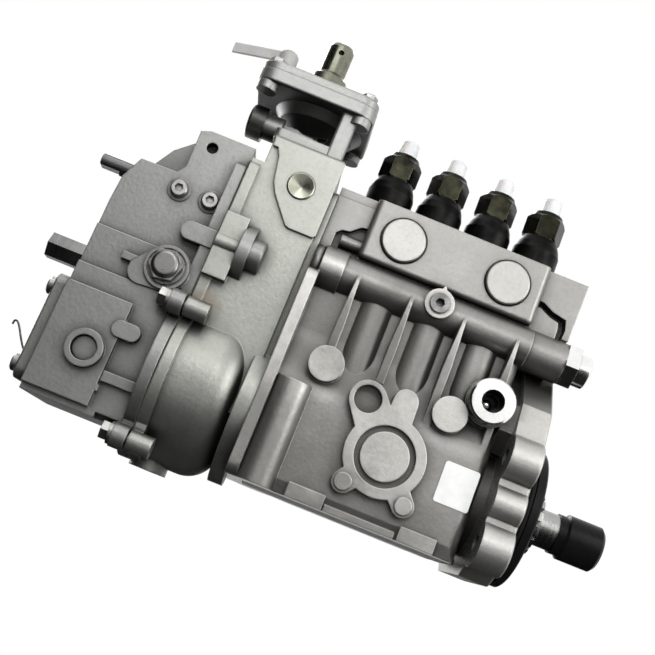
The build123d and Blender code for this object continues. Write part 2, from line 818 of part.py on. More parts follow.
# Socket-head vent plug of the fuel gallery
with BuildPart() as vent_plug:
    with BuildSketch(Plane.XZ.offset(wall_half + 12.5)):
        with Locations((vent_x, vent_z)):
            Circle(6.2)
    extrude(amount=2)
    with BuildSketch(Plane.XZ.offset(wall_half + 12.5)):
        with Locations((vent_x, vent_z)):
            Circle(4.5)
    extrude(amount=-7)
    with BuildSketch(Plane.XZ.offset(wall_half + 14.5)):
        with Locations((vent_x, vent_z)):
            RegularPolygon(3, 6)
    extrude(amount=-6, mode=Mode.SUBTRACT)
vent_plug.part.label = "vent_plug"
export_step(vent_plug.part, "parts/vent_plug.step")

# Press-in discs that close the block
with BuildPart() as block_discs:
    with BuildSketch(Plane.XZ.offset(block_half - 3)):
        with Locations((row_centre - pitch, 129.8), (row_centre + pitch, 129.8)):
            Circle(14.1)
    extrude(amount=5)
    chamfer(block_discs.edges().filter_by(GeomType.CIRCLE).group_by(Axis.Y)[0], 0.8)
block_discs.part.label = "block_discs"
export_step(block_discs.part, "parts/block_discs.step")

# Governor front housing: bell around the flyweights and tall body above it
lug_side = governor_half + 8
lug_r = 6.6
link_z = 84.5
link_r = 5.9
side_block_z = (62.0, 104.0)
front_top_x0 = rear_seam_x + 8
with BuildPart() as bell_room:
    with BuildSketch(Plane.YZ.offset(rear_seam_x)):
        Circle(drum_r - wall)
    extrude(amount=drum_length - wall)
    fillet(bell_room.faces().sort_by(Axis.X)[-1].outer_wire().edges(), bell_round - wall + 1)
with BuildPart() as governor_front:
    with BuildSketch(Plane.YZ.offset(rear_seam_x)):
        Circle(drum_r)
    extrude(amount=drum_length)
    fillet(governor_front.faces().sort_by(Axis.X)[-1].outer_wire().edges(), bell_round)
    # body above the bell
    with BuildSketch(Plane.XZ.offset(-governor_half)):
        with BuildLine():
            Polyline(
                (rear_seam_x, -10),
                (rear_seam_x, governor_top - 21),
                (front_top_x0, governor_top - 21),
                (front_top_x0, governor_top),
                (seam_x - 4.5, governor_top),
                (seam_x - 4.5, -10),
                close=True,
            )
        make_face()
    extrude(amount=2 * governor_half)
    top_edges = governor_front.faces().sort_by(Axis.Z)[-1].edges().filter_by(Axis.X)
    fillet(top_edges, 3)
    # joint band against the pump housing
    with BuildSketch(Plane.YZ.offset(seam_x - 9.5)):
        Circle(crank_half + 2.5)
        with Locations((0, 65)):
            RectangleRounded(2 * governor_half - 4, 160, 6)
    extrude(amount=9.5)
    # flange strip against the rear cover
    with BuildSketch(Plane.YZ.offset(rear_seam_x)):
        Circle(drum_r + 2.5)
        with Locations((0, governor_top / 2 - 33)):
            RectangleRounded(2 * governor_half + 4, governor_top + 22, 6)
    extrude(amount=6.5)
    # raised pad with the curved edge
    for side in (-1, 1):
        with BuildSketch(Plane.XZ.offset(governor_half - 1 if side < 0 else -governor_half - 2)):
            with BuildLine():
                Polyline(
                    (front_top_x0 + 1, governor_top - 3),
                    (front_top_x0 + 1, 156),
                    (-218.7, 156),
                    (-215.9, 150.3),
                    (-212.8, 134.3),
                    (-209.1, 126.9),
                    (-195.5, 110.2),
                    (-192.8, 109.3),
                    (-177, 109.3),
                    (-175.5, 111),
                    (-175.5, governor_top - 3),
                    close=True,
                )
            make_face()
        extrude(amount=3)
    # side block, link boss and seam lugs
    for side in (-1, 1):
        with Locations((rear_seam_x + 7.5, side * (governor_half + 1), sum(side_block_z) / 2)):
            Box(15, 12, side_block_z[1] - side_block_z[0])
        with BuildSketch(Plane.YZ.offset(rear_seam_x)):
            with Locations((side * (governor_half + 3), link_z)):
                Circle(link_r)
            with Locations((side * lug_side, lug_z)):
                Circle(lug_r)
            with Locations((side * (lug_side - 6), low_lug_z)):
                Circle(lug_r)
        extrude(amount=14.5)
    # drain pad under the bell
    with BuildSketch(Plane.XY.offset(-drum_r - 5)):
        with Locations((rear_seam_x + 12, 0)):
            SlotOverall(28, 24, rotation=90)
    extrude(amount=12)
    # cavities
    add(bell_room.part, mode=Mode.SUBTRACT)
    with BuildSketch(Plane.YZ.offset(rear_seam_x)):
        with Locations((0, 60)):
            Rectangle(2 * governor_half - 2 * wall, 150)
    extrude(amount=drum_length - wall, mode=Mode.SUBTRACT)
    with BuildSketch(Plane.YZ.offset(rear_seam_x)):
        Circle(weight_pivot + 7)
    extrude(amount=front_length - wall, mode=Mode.SUBTRACT)
    with BuildSketch(Plane.YZ.offset(seam_x)):
        Circle(bearing_r - 2)
    extrude(amount=-wall - 1, mode=Mode.SUBTRACT)
    with BuildSketch(Plane.YZ.offset(seam_x)):
        with Locations((-rack_side, rack_height)):
            Circle(6.2)
    extrude(amount=drum_length - front_length - wall - 1, mode=Mode.SUBTRACT)
    with Locations((comp_x, 0, governor_top - 10)):
        Cylinder(9, 40, mode=Mode.SUBTRACT)
    # seat of the side plug and bolt bores
    with Locations(Location((side_plug_x, -governor_half - 2, side_plug_z), (90, 0, 0))):
        Cylinder(side_plug_r + 0.1, 5, mode=Mode.SUBTRACT)
    with BuildSketch(Plane.YZ.offset(rear_seam_x)):
        for side in (-1, 1):
            with Locations((side * lug_side, lug_z), (side * (lug_side - 6), low_lug_z)):
                Circle(3.5)
    extrude(amount=12, mode=Mode.SUBTRACT)
governor_front.part.label = "governor_front"
export_step(governor_front.part, "parts/governor_front.step")

# Gasket between front housing and rear cover
with BuildPart() as governor_gasket:
    with BuildSketch(Plane.YZ.offset(rear_seam_x - 1)):
        Circle(drum_r + 2)
        with Locations((0, governor_top / 2 - 33)):
            RectangleRounded(2 * governor_half + 3, governor_top + 21, 6)
        with Locations((0, 50)):
            Rectangle(2 * governor_half - 2 * wall, 118, mode=Mode.SUBTRACT)
        Circle(drum_r - wall, mode=Mode.SUBTRACT)
        for side in (-1, 1):
            with Locations((side * lug_side, lug_z), (side * (lug_side - 6), low_lug_z)):
                Circle(3.6, mode=Mode.SUBTRACT)
    extrude(amount=1)
governor_gasket.part.label = "governor_gasket"
export_step(governor_gasket.part, "parts/governor_gasket.step")

# Rear cover of the governor
cover_x = rear_seam_x - 1
cover_screw_z = 108.0
cover_screw_places = [(cover_x - 33.7, cover_screw_z), (cover_x - 13, cover_screw_z)]
plug_x = rear_seam_x - 20.7
plug_z = 57.0
ring_x = rear_seam_x - 45
ring_z = -7.3
with BuildPart() as governor_rear:
    with BuildSketch(Plane.XZ.offset(-rear_half)):
        with BuildLine():
            Polyline(
                (cover_x, rear_top),
                (cover_x - 30, rear_top),
                (cover_x - 41, rear_top - 4),
                (cover_x - 52, rear_top - 14),
                (back_x + 7, 117),
                (back_x + 1, 103),
                (back_x, 86),
                (back_x, box_half - box_height),
                (cover_x, box_half - box_height),
                close=True,
            )
        make_face()
    extrude(amount=2 * rear_half)
    # step down in the upper corner on the pad side
    with BuildSketch(Plane.XZ.offset(rear_half - 22)):
        with BuildLine():
            Polyline(
                (cover_x - 37, rear_top + 10),
                (cover_x - 36, rear_top - 28),
                (cover_x - 40, rear_top - 33.5),
                (back_x - 10, rear_top - 34.5),
                (back_x - 10, rear_top + 10),
                close=True,
            )
        make_face()
    extrude(amount=30, mode=Mode.SUBTRACT)
    # side steps and the wide lower box
    with Locations(((cover_x + back_x) / 2 - 3, 0, (68.5 - 42.5) / 2)):
        Box(cover_x - back_x - 6, 2 * rear_half + 5, 68.5 + 42.5)
    with Locations(((cover_x + back_x) / 2 - 3, 0, (42 - 42.5) / 2)):
        Box(cover_x - back_x - 6, 2 * rear_half + 12, 42 + 42.5)
    with Locations((back_x + 21, 0, (28.5 - 38) / 2)):
        Box(42, 2 * box_half, 28.5 + 38)
    fillet(governor_rear.edges().filter_by(Axis.Y).group_by(Axis.X)[0][0], 1.5)
    # flange band at the joint
    with BuildSketch(Plane.YZ.offset(cover_x - 7)):
        Circle(drum_r + 2.5)
        with Locations((0, governor_top / 2 - 35)):
            RectangleRounded(2 * governor_half + 2, governor_top + 18, 6)
    extrude(amount=7)
    # seam lugs and the end of the link boss
    with BuildSketch(Plane.YZ.offset(cover_x - 9)):
        for side in (-1, 1):
            with Locations((side * lug_side, lug_z), (side * (lug_side - 6), low_lug_z)):
                Circle(lug_r + 1.2)
    extrude(amount=9)
    with BuildSketch(Plane.XZ.offset(-governor_half - 2.5)):
        with Locations((cover_x - 16, link_z)):
            Circle(link_r)
        with Locations((cover_x - 8, link_z)):
            Rectangle(16, 2 * link_r)
    extrude(amount=2 * governor_half + 5)
    # teardrop boss of the domed plug
    with BuildSketch(Plane.XZ.offset(rear_half)):
        with Locations((plug_x, plug_z)):
            Circle(14.6)
        with Locations((plug_x - 13.5, plug_z - 7)):
            Circle(8.6)
        make_hull()
    extrude(amount=7.5)
    # pointer, ring boss, capsule and ledges
    with Locations((plug_x - 21, -rear_half - 4, plug_z - 1.8)):
        Box(15, 6, 4.6)
    with BuildSketch(Plane.XZ.offset(box_half - 1)):
        with Locations((ring_x, ring_z)):
            Circle(11.6)
    extrude(amount=7)
    with BuildSketch(Plane.XZ.offset(rear_half + 4)):
        with Locations((cover_x - 26, 11.4)):
            SlotOverall(18, 10.5)
    extrude(amount=8)
    with BuildSketch(Plane.XZ.offset(rear_half + 4)):
        with Locations((cover_x - 16.5, -18)):
            Rectangle(24, 6.4)
        with Locations((cover_x - 34, -26)):
            Rectangle(13, 4)
    extrude(amount=6)
    # spot faces of the socket screws
    with BuildSketch(Plane.XZ.offset(rear_half - 1)):
        with Locations(*cover_screw_places):
            Circle(7.4)
    extrude(amount=2)
    # cavities
    with Locations(((cover_x + back_x + 7) / 2, 0, 37)):
        Box(cover_x - back_x - 7, 2 * rear_half - 2 * wall, 150, mode=Mode.SUBTRACT)
    with Locations((cover_x - 20, 9, 115.5)):
        Box(40, 42, 25, mode=Mode.SUBTRACT)
    with BuildSketch(Plane.YZ.offset(cover_x - 10)):
        Circle(rear_half - 0.5)
    extrude(amount=10, mode=Mode.SUBTRACT)
    # room for the lower bolt heads
    with BuildSketch(Plane.YZ.offset(cover_x - 24)):
        for side in (-1, 1):
            with Locations((side * (lug_side - 6), low_lug_z)):
                Circle(8.2)
    extrude(amount=15, mode=Mode.SUBTRACT)
    # shaft bores, blind hole, ring recess and bolt bores
    with BuildSketch(Plane.YZ.offset(back_x)):
        with Locations((shaft_side, upper_shaft_z)):
            Circle(upper_shaft_r + running_gap)
        with Locations((shaft_side, lower_shaft_z)):
            Circle(lower_hex_r - 2 + running_gap)
    extrude(amount=34, mode=Mode.SUBTRACT)
    with Locations(Location((cover_x - 25.6, -rear_half, 141.6), (90, 0, 0))):
        Cylinder(3.7, 16, mode=Mode.SUBTRACT)
    with Locations(Location((ring_x, -box_half - 4, ring_z), (90, 0, 0))):
        Cylinder(7.8, 6, mode=Mode.SUBTRACT)
    with Locations(Location((plug_x, -rear_half - 4, plug_z), (90, 0, 0))):
        Cylinder(8.05, 16, mode=Mode.SUBTRACT)
    with BuildSketch(Plane.YZ.offset(cover_x - 12)):
        for side in (-1, 1):
            with Locations((side * lug_side, lug_z), (side * (lug_side - 6), low_lug_z)):
                Circle(3.5)
    extrude(amount=12, mode=Mode.SUBTRACT)
    with Locations(*((x, -rear_half - 1, z) for x, z in cover_screw_places)):
        Cylinder(3.05, 12, rotation=(90, 0, 0), mode=Mode.SUBTRACT)
governor_rear.part.label = "governor_rear"
export_step(governor_rear.part, "parts/governor_rear.step")

# End plate with its four screws
plate_x = back_x
with BuildPart() as end_plate:
    with BuildSketch(Plane.YZ.offset(plate_x - end_plate_thickness)):
        with Locations((0, -3.5)):
            RectangleRounded(2 * box_half - 6, 69, 7)
    extrude(amount=end_plate_thickness)
    fillet(end_plate.faces().sort_by(Axis.X)[0].outer_wire().edges(), 1.2)
end_plate.part.label = "end_plate"
export_step(end_plate.part, "parts/end_plate.step")

screw_y = box_half - 11
with BuildPart() as end_screws:
    with BuildSketch(Plane.YZ.offset(plate_x - end_plate_thickness - 4.2)):
        with Locations((-screw_y, 22), (screw_y, 22), (-screw_y, -29), (screw_y, -29)):
            Circle(5.6)
    extrude(amount=4.2)
    chamfer(end_screws.edges().group_by(Axis.X)[0], 0.8)
    with BuildSketch(Plane.YZ.offset(plate_x - end_plate_thickness - 4.2)):
        with Locations((-screw_y, 22), (screw_y, 22), (-screw_y, -29), (screw_y, -29)):
            Rectangle(1.4, 9)
    extrude(amount=1.6, mode=Mode.SUBTRACT)
end_screws.part.label = "end_screws"
export_step(end_screws.part, "parts/end_screws.step")

# Seam bolts of the governor joint
bolt_places = [(s * lug_side, lug_z) for s in (-1, 1)] + [(s * (lug_side - 6), low_lug_z) for s in (-1, 1)]
with BuildPart() as seam_bolts:
    with BuildSketch(Plane.YZ.offset(cover_x - 9 - 7)):
        with Locations(bolt_places):
            RegularPolygon(6, 6)
    extrude(amount=7)
    with BuildSketch(Plane.YZ.offset(cover_x - 9 - 2)):
        with Locations(bolt_places):
            Circle(6.9)
    extrude(amount=2)
    with BuildSketch(Plane.YZ.offset(cover_x - 9)):
        with Locations(bolt_places):
            Circle(3.45)
    extrude(amount=19)
seam_bolts.part.label = "seam_bolts"
export_step(seam_bolts.part, "parts/seam_bolts.step")

# Flyweight carrier on the camshaft tail
ear_z = 13.4
with BuildPart() as weight_carrier:
    with BuildSketch(Plane.YZ.offset(carrier_x - 5)):
        Circle(weight_pivot + 2)
        Circle(8, mode=Mode.SUBTRACT)
    extrude(amount=5)
    for side in (-1, 1):
        for lift in (-1, 1):
            with Locations((carrier_x - 12, side * (weight_pivot - 6), lift * (ear_z + 2))):
                Box(18, 13, 4)
        with Locations((carrier_x - 15, side * (weight_pivot - 6), 0)):
            Cylinder(2.6, 2 * ear_z + 6)
weight_carrier.part.label = "weight_carrier"
export_step(weight_carrier.part, "parts/weight_carrier.step")


# Flyweight with a toe that pushes the sleeve
def make_weight(side):
    with BuildPart() as weight:
        with BuildSketch(Plane.XY.offset(-ear_z + 0.4)):
            with BuildLine():
                Polyline(
                    (carrier_x - 9.5, side * 20),
                    (carrier_x - 9.5, side * 29),
                    (carrier_x - 20, side * 38),
                    (carrier_x - 42, side * 38),
                    (carrier_x - 42, side * 17),
                    (carrier_x - 30, side * 17),
                    (carrier_x - 24, side * 14),
                    (carrier_x - 24, side * 10),
                    (carrier_x - 19, side * 10),
                    close=True,
                )
            make_face()
        extrude(amount=2 * ear_z - 0.8)
        with Locations((carrier_x - 15, side * (weight_pivot - 6), 0)):
            Cylinder(2.6 + running_gap, 60, mode=Mode.SUBTRACT)
    return weight.part


for k, side in enumerate((1, -1)):
    weight_part = make_weight(side)
    weight_part.label = f"flyweight_{k + 1}"
    export_step(weight_part, f"parts/flyweight_{k + 1}.step")

# Governor sleeve and spring on the tail
sleeve_x = carrier_x - 24.3
with BuildPart() as governor_sleeve:
    with BuildSketch(Plane.YZ.offset(sleeve_x - 3)):
        Circle(12.6)
        Circle(8 + running_gap, mode=Mode.SUBTRACT)
    extrude(amount=3)
    with BuildSketch(Plane.YZ.offset(sleeve_x - 18)):
        Circle(11)
        Circle(8 + running_gap, mode=Mode.SUBTRACT)
    extrude(amount=15)
governor_sleeve.part.label = "governor_sleeve"
export_step(governor_sleeve.part, "parts/governor_sleeve.step")

with BuildPart() as governor_spring:
    with BuildSketch(Plane.YZ.offset(sleeve_x - 46)):
        Circle(11)
        Circle(9, mode=Mode.SUBTRACT)
    extrude(amount=27.8)
governor_spring.part.label = "governor_spring"
export_step(governor_spring.part, "parts/governor_spring.step")

# Upper lever shaft: round, flatted at its end, arm inside the cover
with BuildPart() as upper_shaft:
    with BuildSketch(Plane.YZ.offset(back_x - 23)):
        with Locations((shaft_side, upper_shaft_z)):
            Circle(upper_shaft_r)
    extrude(amount=64)
    with BuildSketch(Plane.YZ.offset(back_x + 35)):
        with BuildLine():
            Polyline(
                (shaft_side - lever_half, upper_shaft_z + lever_half),
                (shaft_side + lever_half, upper_shaft_z + lever_half),
                (shaft_side + lever_half - 1, upper_shaft_z - lever_length),
                (shaft_side - lever_half + 1, upper_shaft_z - lever_length),
                close=True,
            )
        make_face()
    extrude(amount=6)
    with Locations((back_x - 16, shaft_side, upper_shaft_z - upper_shaft_r)):
        Box(14, 12, 3.4, mode=Mode.SUBTRACT)
    chamfer(upper_shaft.faces().sort_by(Axis.X)[0].edges(), 0.6)
upper_shaft.part.label = "upper_shaft"
export_step(upper_shaft.part, "parts/upper_shaft.step")

# Lower lever shaft: hexagonal outside, round in its bore
with BuildPart() as lower_shaft:
    with BuildSketch(Plane.YZ.offset(back_x - 30)):
        with Locations((shaft_side, lower_shaft_z)):
            RegularPolygon(lower_hex_r, 6, major_radius=True)
    extrude(amount=29.7)
    with BuildSketch(Plane.YZ.offset(back_x - 0.5)):
        with Locations((shaft_side, lower_shaft_z)):
            Circle(lower_hex_r - 2)
    extrude(amount=41)
    with BuildSketch(Plane.YZ.offset(back_x + 35)):
        with BuildLine():
            Polyline(
                (shaft_side - 7, lower_shaft_z + 6),
                (shaft_side + 7, lower_shaft_z + 6),
                (shaft_side + 4, lower_shaft_z - 24),
                (shaft_side - 4, lower_shaft_z - 24),
                close=True,
            )
        make_face()
    extrude(amount=6)
lower_shaft.part.label = "lower_shaft"
export_step(lower_shaft.part, "parts/lower_shaft.step")

# Domed plug on a washer
with BuildPart() as domed_plug:
    with BuildSketch(Plane.XZ.offset(rear_half + 7.5)):
        with Locations((plug_x, plug_z)):
            Circle(13.8)
            Circle(12.1, mode=Mode.SUBTRACT)
            Circle(10.7)
    extrude(amount=2.4)
    with BuildSketch(Plane.XZ.offset(rear_half + 7.5)):
        with Locations((plug_x, plug_z)):
            Circle(13.8)
    extrude(amount=0.8)
    with BuildSketch(Plane.XZ.offset(rear_half + 9.9)):
        with Locations((plug_x - 0.5, plug_z + 0.5)):
            RegularPolygon(10.6, 6, rotation=10)
    extrude(amount=5)
    with BuildSketch(Plane.XZ.offset(rear_half + 14.9)):
        with Locations((plug_x - 0.5, plug_z + 0.5)):
            Circle(8.6)
    extrude(amount=3)
    fillet(domed_plug.faces().sort_by(Axis.Y)[0].edges(), 2.6)
    with Locations(Location((plug_x, -rear_half - 4, plug_z), (90, 0, 0))):
        Cylinder(8, 8)
domed_plug.part.label = "domed_plug"
export_step(domed_plug.part, "parts/domed_plug.step")

# Plug in the raised pad of the front housing, disc in the ring boss
with BuildPart() as side_plug:
    with BuildSketch(Plane(origin=(side_plug_x, 0, side_plug_z), x_dir=(1, 0, 0), z_dir=(0, 0, 1))):
        with BuildLine():
            Polyline(
                (0, -governor_half + 0.5),
                (side_plug_r, -governor_half + 0.5),
                (side_plug_r, -governor_half - 2.4),
                (side_plug_r - 0.7, -governor_half - 3.0),
                (0, -governor_half + 0.1),
                close=True,
            )
        make_face()
    revolve(axis=Axis((side_plug_x, 0, side_plug_z), (0, 1, 0)))
side_plug.part.label = "side_plug"
export_step(side_plug.part, "parts/side_plug.step")

with BuildPart() as ring_plug:
    with BuildSketch(Plane.XZ.offset(box_half + 1)):
        with Locations((ring_x, ring_z)):
            Circle(7.7)
    extrude(amount=2.2)
    fillet(ring_plug.faces().sort_by(Axis.Y)[0].edges(), 0.8)
ring_plug.part.label = "ring_plug"
export_step(ring_plug.part, "parts/ring_plug.step")

# Socket screws in the rear cover
with BuildPart() as cover_screws:
    with BuildSketch(Plane.XZ.offset(rear_half + 1)):
        with Locations(*cover_screw_places):
            Circle(5.4)
    extrude(amount=4.4)
    chamfer(cover_screws.edges().group_by(Axis.Y)[0], 0.7)
    with BuildSketch(Plane.XZ.offset(rear_half - 5)):
        with Locations(*cover_screw_places):
            Circle(3)
    extrude(amount=6.2)
    with BuildSketch(Plane.XZ.offset(rear_half + 2.6)):
        with Locations(*cover_screw_places):
            RegularPolygon(2.9, 6)
    extrude(amount=4, mode=Mode.SUBTRACT)
cover_screws.part.label = "cover_screws"
export_step(cover_screws.part, "parts/cover_screws.step")

# Round end cover with its knob on the side block
with BuildPart() as side_cap:
    with BuildSketch(Plane.YZ.offset(rear_seam_x + 15)):
        with Locations((-governor_half + 7, link_z)):
            Circle(19)
            Rectangle(60, 60, align=(Align.MIN, Align.CENTER), mode=Mode.SUBTRACT)
    extrude(amount=7.5)
    with BuildSketch(Plane.YZ.offset(rear_seam_x + 22.5)):
        with Locations((-governor_half - 1, link_z)):
            Circle(10.5)
            Rectangle(60, 60, align=(Align.MIN, Align.CENTER), mode=Mode.SUBTRACT)
    extrude(amount=8.5)
    fillet(side_cap.faces().sort_by(Axis.X)[-1].edges().filter_by(GeomType.CIRCLE), 1.5)
    with Locations((rear_seam_x + 20, 0, link_z)):
        Box(60, 2 * governor_half + 0.2, 80, mode=Mode.SUBTRACT)
side_cap.part.label = "side_cap"
export_step(side_cap.part, "parts/side_cap.step")

# Boost compensator housing: foot, pillars, neck, bowl and square plate
neck_x = comp_x + 5
rod_r = 4.5
side_cyl_z = governor_top + 13
with BuildPart() as comp_housing:
    with BuildSketch(Plane.XY.offset(comp_z0)):
        with Locations((comp_x, -2)):
            RectangleRounded(comp_length, comp_width, 12)
    extrude(amount=comp_plate)
    fillet(comp_housing.faces().sort_by(Axis.Z)[0].outer_wire().edges(), 2)
    with BuildSketch(Plane.XY.offset(governor_top)):
        with Locations((comp_x + 4, -2)):
            RectangleRounded(40, 70, 4)
    extrude(amount=6.5)
    with BuildSketch(Plane.XY.offset(governor_top)):
        for side in (-1, 1):
            with Locations((comp_x + 25, side * (governor_half - 10))):
                RectangleRounded(11, 11, 2)
    extrude(amount=comp_rise)
    with BuildSketch(Plane.XY.offset(governor_top + 6.5)):
        with Locations((neck_x, 0)):
            Circle(10)
    extrude(amount=comp_rise - 6.5)
    # bowl under the plate
    with BuildSketch(Plane.XZ.shift_origin((neck_x, 0, 0))):
        with BuildLine():
            Polyline(
                (0, comp_z0 - 14),
                (13, comp_z0 - 14),
                (26, comp_z0 - 6),
                (31, comp_z0),
                (0, comp_z0),
                close=True,
            )
        make_face()
    revolve(axis=Axis((neck_x, 0, 0), (0, 0, 1)))
    # screw bosses under the corners
    with BuildSketch(Plane.XY.offset(comp_z0 - 5)):
        with Locations((comp_x, -2)):
            with GridLocations(comp_length - 17, comp_width - 17, 2, 2):
                Circle(7)
    extrude(amount=5.5)
    # horizontal cylinder of the adjusting screw and its bridge to the neck
    with BuildSketch(Plane.YZ.offset(comp_x - 31)):
        with Locations((-12, side_cyl_z)):
            Circle(8.8)
    extrude(amount=16)
    with Locations(((comp_x - 16 + neck_x) / 2, -7, side_cyl_z + 2)):
        Box(neck_x - comp_x + 18, 8, 9)
    # bores
    with BuildSketch(Plane.XY.offset(comp_z0 + 1)):
        with Locations((neck_x - 5, -2)):
            Circle(29)
    extrude(amount=comp_plate, mode=Mode.SUBTRACT)
    with Locations((comp_x, 0, comp_z0)):
        Cylinder(rod_r + running_gap, 90, mode=Mode.SUBTRACT)
    with Locations(Location((neck_x + 6, -8, governor_top + 22), (90, 0, 0))):
        Cylinder(4.6, 10, mode=Mode.SUBTRACT)
comp_housing.part.label = "comp_housing"
export_step(comp_housing.part, "parts/comp_housing.step")

# Compensator cover
with BuildPart() as comp_lid:
    with BuildSketch(Plane.XY.offset(comp_seam)):
        with Locations((comp_x, -2)):
            RectangleRounded(comp_length - 0.8, comp_width - 0.8, 11.6)
    extrude(amount=comp_cover)
    fillet(comp_lid.faces().sort_by(Axis.Z)[-1].outer_wire().edges(), 1.5)
    with BuildSketch(Plane.XY.offset(comp_top)):
        with Locations((comp_x, -2)):
            Circle(28)
    extrude(amount=5, taper=30)
    with BuildSketch(Plane.XY.offset(comp_seam)):
        with Locations((comp_x, -2)):
            Circle(26)
    extrude(amount=4, mode=Mode.SUBTRACT)
comp_lid.part.label = "comp_lid"
export_step(comp_lid.part, "parts/comp_lid.step")

# Screws of the compensator cover
with BuildPart() as comp_screws:
    with BuildSketch(Plane.XY.offset(comp_top)):
        with Locations((comp_x, -2)):
            with GridLocations(comp_length - 17, comp_width - 17, 2, 2):
                RegularPolygon(5.4, 6)
    extrude(amount=3.8)
    chamfer(comp_screws.edges().group_by(Axis.Z)[-1], 0.6)
comp_screws.part.label = "comp_screws"
export_step(comp_screws.part, "parts/comp_screws.step")

# Diaphragm with its rod
rod_low = governor_top - 24
with BuildPart() as comp_rod:
    with BuildSketch(Plane.XY.offset(comp_seam - 2.4)):
        with Locations((comp_x, -2)):
            Circle(24.5)
    extrude(amount=1.8)
    with BuildSketch(Plane.XY.offset(comp_seam - 0.6)):
        with Locations((comp_x, -2)):
            Circle(15)
    extrude(amount=2)
    with BuildSketch(Plane.XY.offset(rod_low)):
        with Locations((comp_x, 0)):
            Circle(rod_r)
    extrude(amount=comp_seam - rod_low)
comp_rod.part.label = "comp_rod"
export_step(comp_rod.part, "parts/comp_rod.step")

# Plated stub on the cover
stub_z = comp_top + 5
with BuildPart() as boost_stub:
    stub_top = comp_top + stub_height
    with BuildSketch(Plane(origin=(comp_x, -2, 0), x_dir=(1, 0, 0), z_dir=(0, -1, 0))):
        with BuildLine():
            Polyline(
                (0, stub_z),
                (stub_r + 4, stub_z),
                (stub_r + 3, stub_z + 13),
                (stub_r, stub_z + 16),
                (stub_r, stub_top - 4),
                (stub_r - 1.2, stub_top - 1.6),
                (stub_r - 4, stub_top),
                (0, stub_top),
                close=True,
            )
        make_face()
    revolve(axis=Axis((comp_x, -2, 0), (0, 0, 1)))
    with Locations(Location((comp_x + 1, -2 - stub_r, stub_top - 9), (90, 0, 0))):
        Cylinder(2, 8, mode=Mode.SUBTRACT)
boost_stub.part.label = "boost_stub"
export_step(boost_stub.part, "parts/boost_stub.step")

# Dark end cap on the adjusting screw
with BuildPart() as adjuster_cap:
    with BuildSketch(Plane.YZ.offset(comp_x - 37.5)):
        with Locations((-12, side_cyl_z)):
            Circle(11.6)
    extrude(amount=11)
    fillet(adjuster_cap.faces().sort_by(Axis.X)[0].edges(), 2)
    with BuildSketch(Plane.YZ.offset(comp_x - 31)):
        with Locations((-12, side_cyl_z)):
            Circle(8.8)
    extrude(amount=6, mode=Mode.SUBTRACT)
adjuster_cap.part.label = "adjuster_cap"
export_step(adjuster_cap.part, "parts/adjuster_cap.step")

# Domed seal cap beside the corner screw, with its flat tab
fitting_x = comp_x - 29
fitting_y = -20.5
fitting_height = 17.6
with BuildPart() as side_fitting:
    with BuildSketch(Plane.XY.offset(comp_top)):
        with Locations((fitting_x, fitting_y)):
            Circle(6.6)
    extrude(amount=fitting_height)
    fillet(side_fitting.edges().group_by(Axis.Z)[-1], 4)
    with BuildSketch(Plane.XZ.offset(-fitting_y - 1.2)):
        with BuildLine():
            Polyline(
                (fitting_x - 3, comp_top + fitting_height - 1.2),
                (fitting_x - 36.4, comp_top + 9.3),
                (fitting_x - 36.4, comp_top + 2.6),
                (fitting_x - 3, comp_top + fitting_height - 8),
                close=True,
            )
        make_face()
    extrude(amount=2.4)
side_fitting.part.label = "side_fitting"
export_step(side_fitting.part, "parts/side_fitting.step")
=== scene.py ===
"""In-line diesel injection pump: finishes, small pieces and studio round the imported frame."""

import math

import bpy
import bmesh
from mathutils import Matrix, Vector


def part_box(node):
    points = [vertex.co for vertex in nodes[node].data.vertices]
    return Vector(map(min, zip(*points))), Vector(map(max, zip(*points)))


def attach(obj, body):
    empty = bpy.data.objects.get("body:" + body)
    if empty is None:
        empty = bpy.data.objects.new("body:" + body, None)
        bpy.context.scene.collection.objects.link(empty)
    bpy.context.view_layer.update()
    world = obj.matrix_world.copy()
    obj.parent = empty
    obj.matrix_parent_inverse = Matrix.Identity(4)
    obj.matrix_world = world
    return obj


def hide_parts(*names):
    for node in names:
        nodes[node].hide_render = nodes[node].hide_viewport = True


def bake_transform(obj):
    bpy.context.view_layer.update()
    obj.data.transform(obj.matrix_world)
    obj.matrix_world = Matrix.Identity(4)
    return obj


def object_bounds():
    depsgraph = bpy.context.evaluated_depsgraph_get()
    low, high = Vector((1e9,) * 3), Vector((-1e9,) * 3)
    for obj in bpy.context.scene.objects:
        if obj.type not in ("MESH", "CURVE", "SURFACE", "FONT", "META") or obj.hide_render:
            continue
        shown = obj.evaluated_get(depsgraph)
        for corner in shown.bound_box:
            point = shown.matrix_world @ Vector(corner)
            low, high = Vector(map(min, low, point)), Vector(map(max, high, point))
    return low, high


MM = 0.001

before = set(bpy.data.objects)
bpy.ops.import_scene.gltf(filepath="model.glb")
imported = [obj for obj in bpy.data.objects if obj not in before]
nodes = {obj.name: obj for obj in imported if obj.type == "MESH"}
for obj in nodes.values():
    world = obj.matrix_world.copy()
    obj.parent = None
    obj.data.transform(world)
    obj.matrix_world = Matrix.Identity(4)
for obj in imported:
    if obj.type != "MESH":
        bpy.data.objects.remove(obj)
cad_low, cad_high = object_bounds()
housing_low, housing_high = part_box("pump_housing")
rack_low, rack_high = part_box("control_rack")


# Node helpers
def put(tree, kind, inputs=None, **settings):
    """Adds one node; an input is a number, a colour or the socket that feeds it."""
    made = tree.nodes.new(kind)
    for key, value in settings.items():
        setattr(made, key, value)
    for key, value in (inputs or {}).items():
        socket = made.inputs[key]
        if isinstance(value, bpy.types.NodeSocket):
            tree.links.new(value, socket)
        else:
            socket.default_value = value
    return made


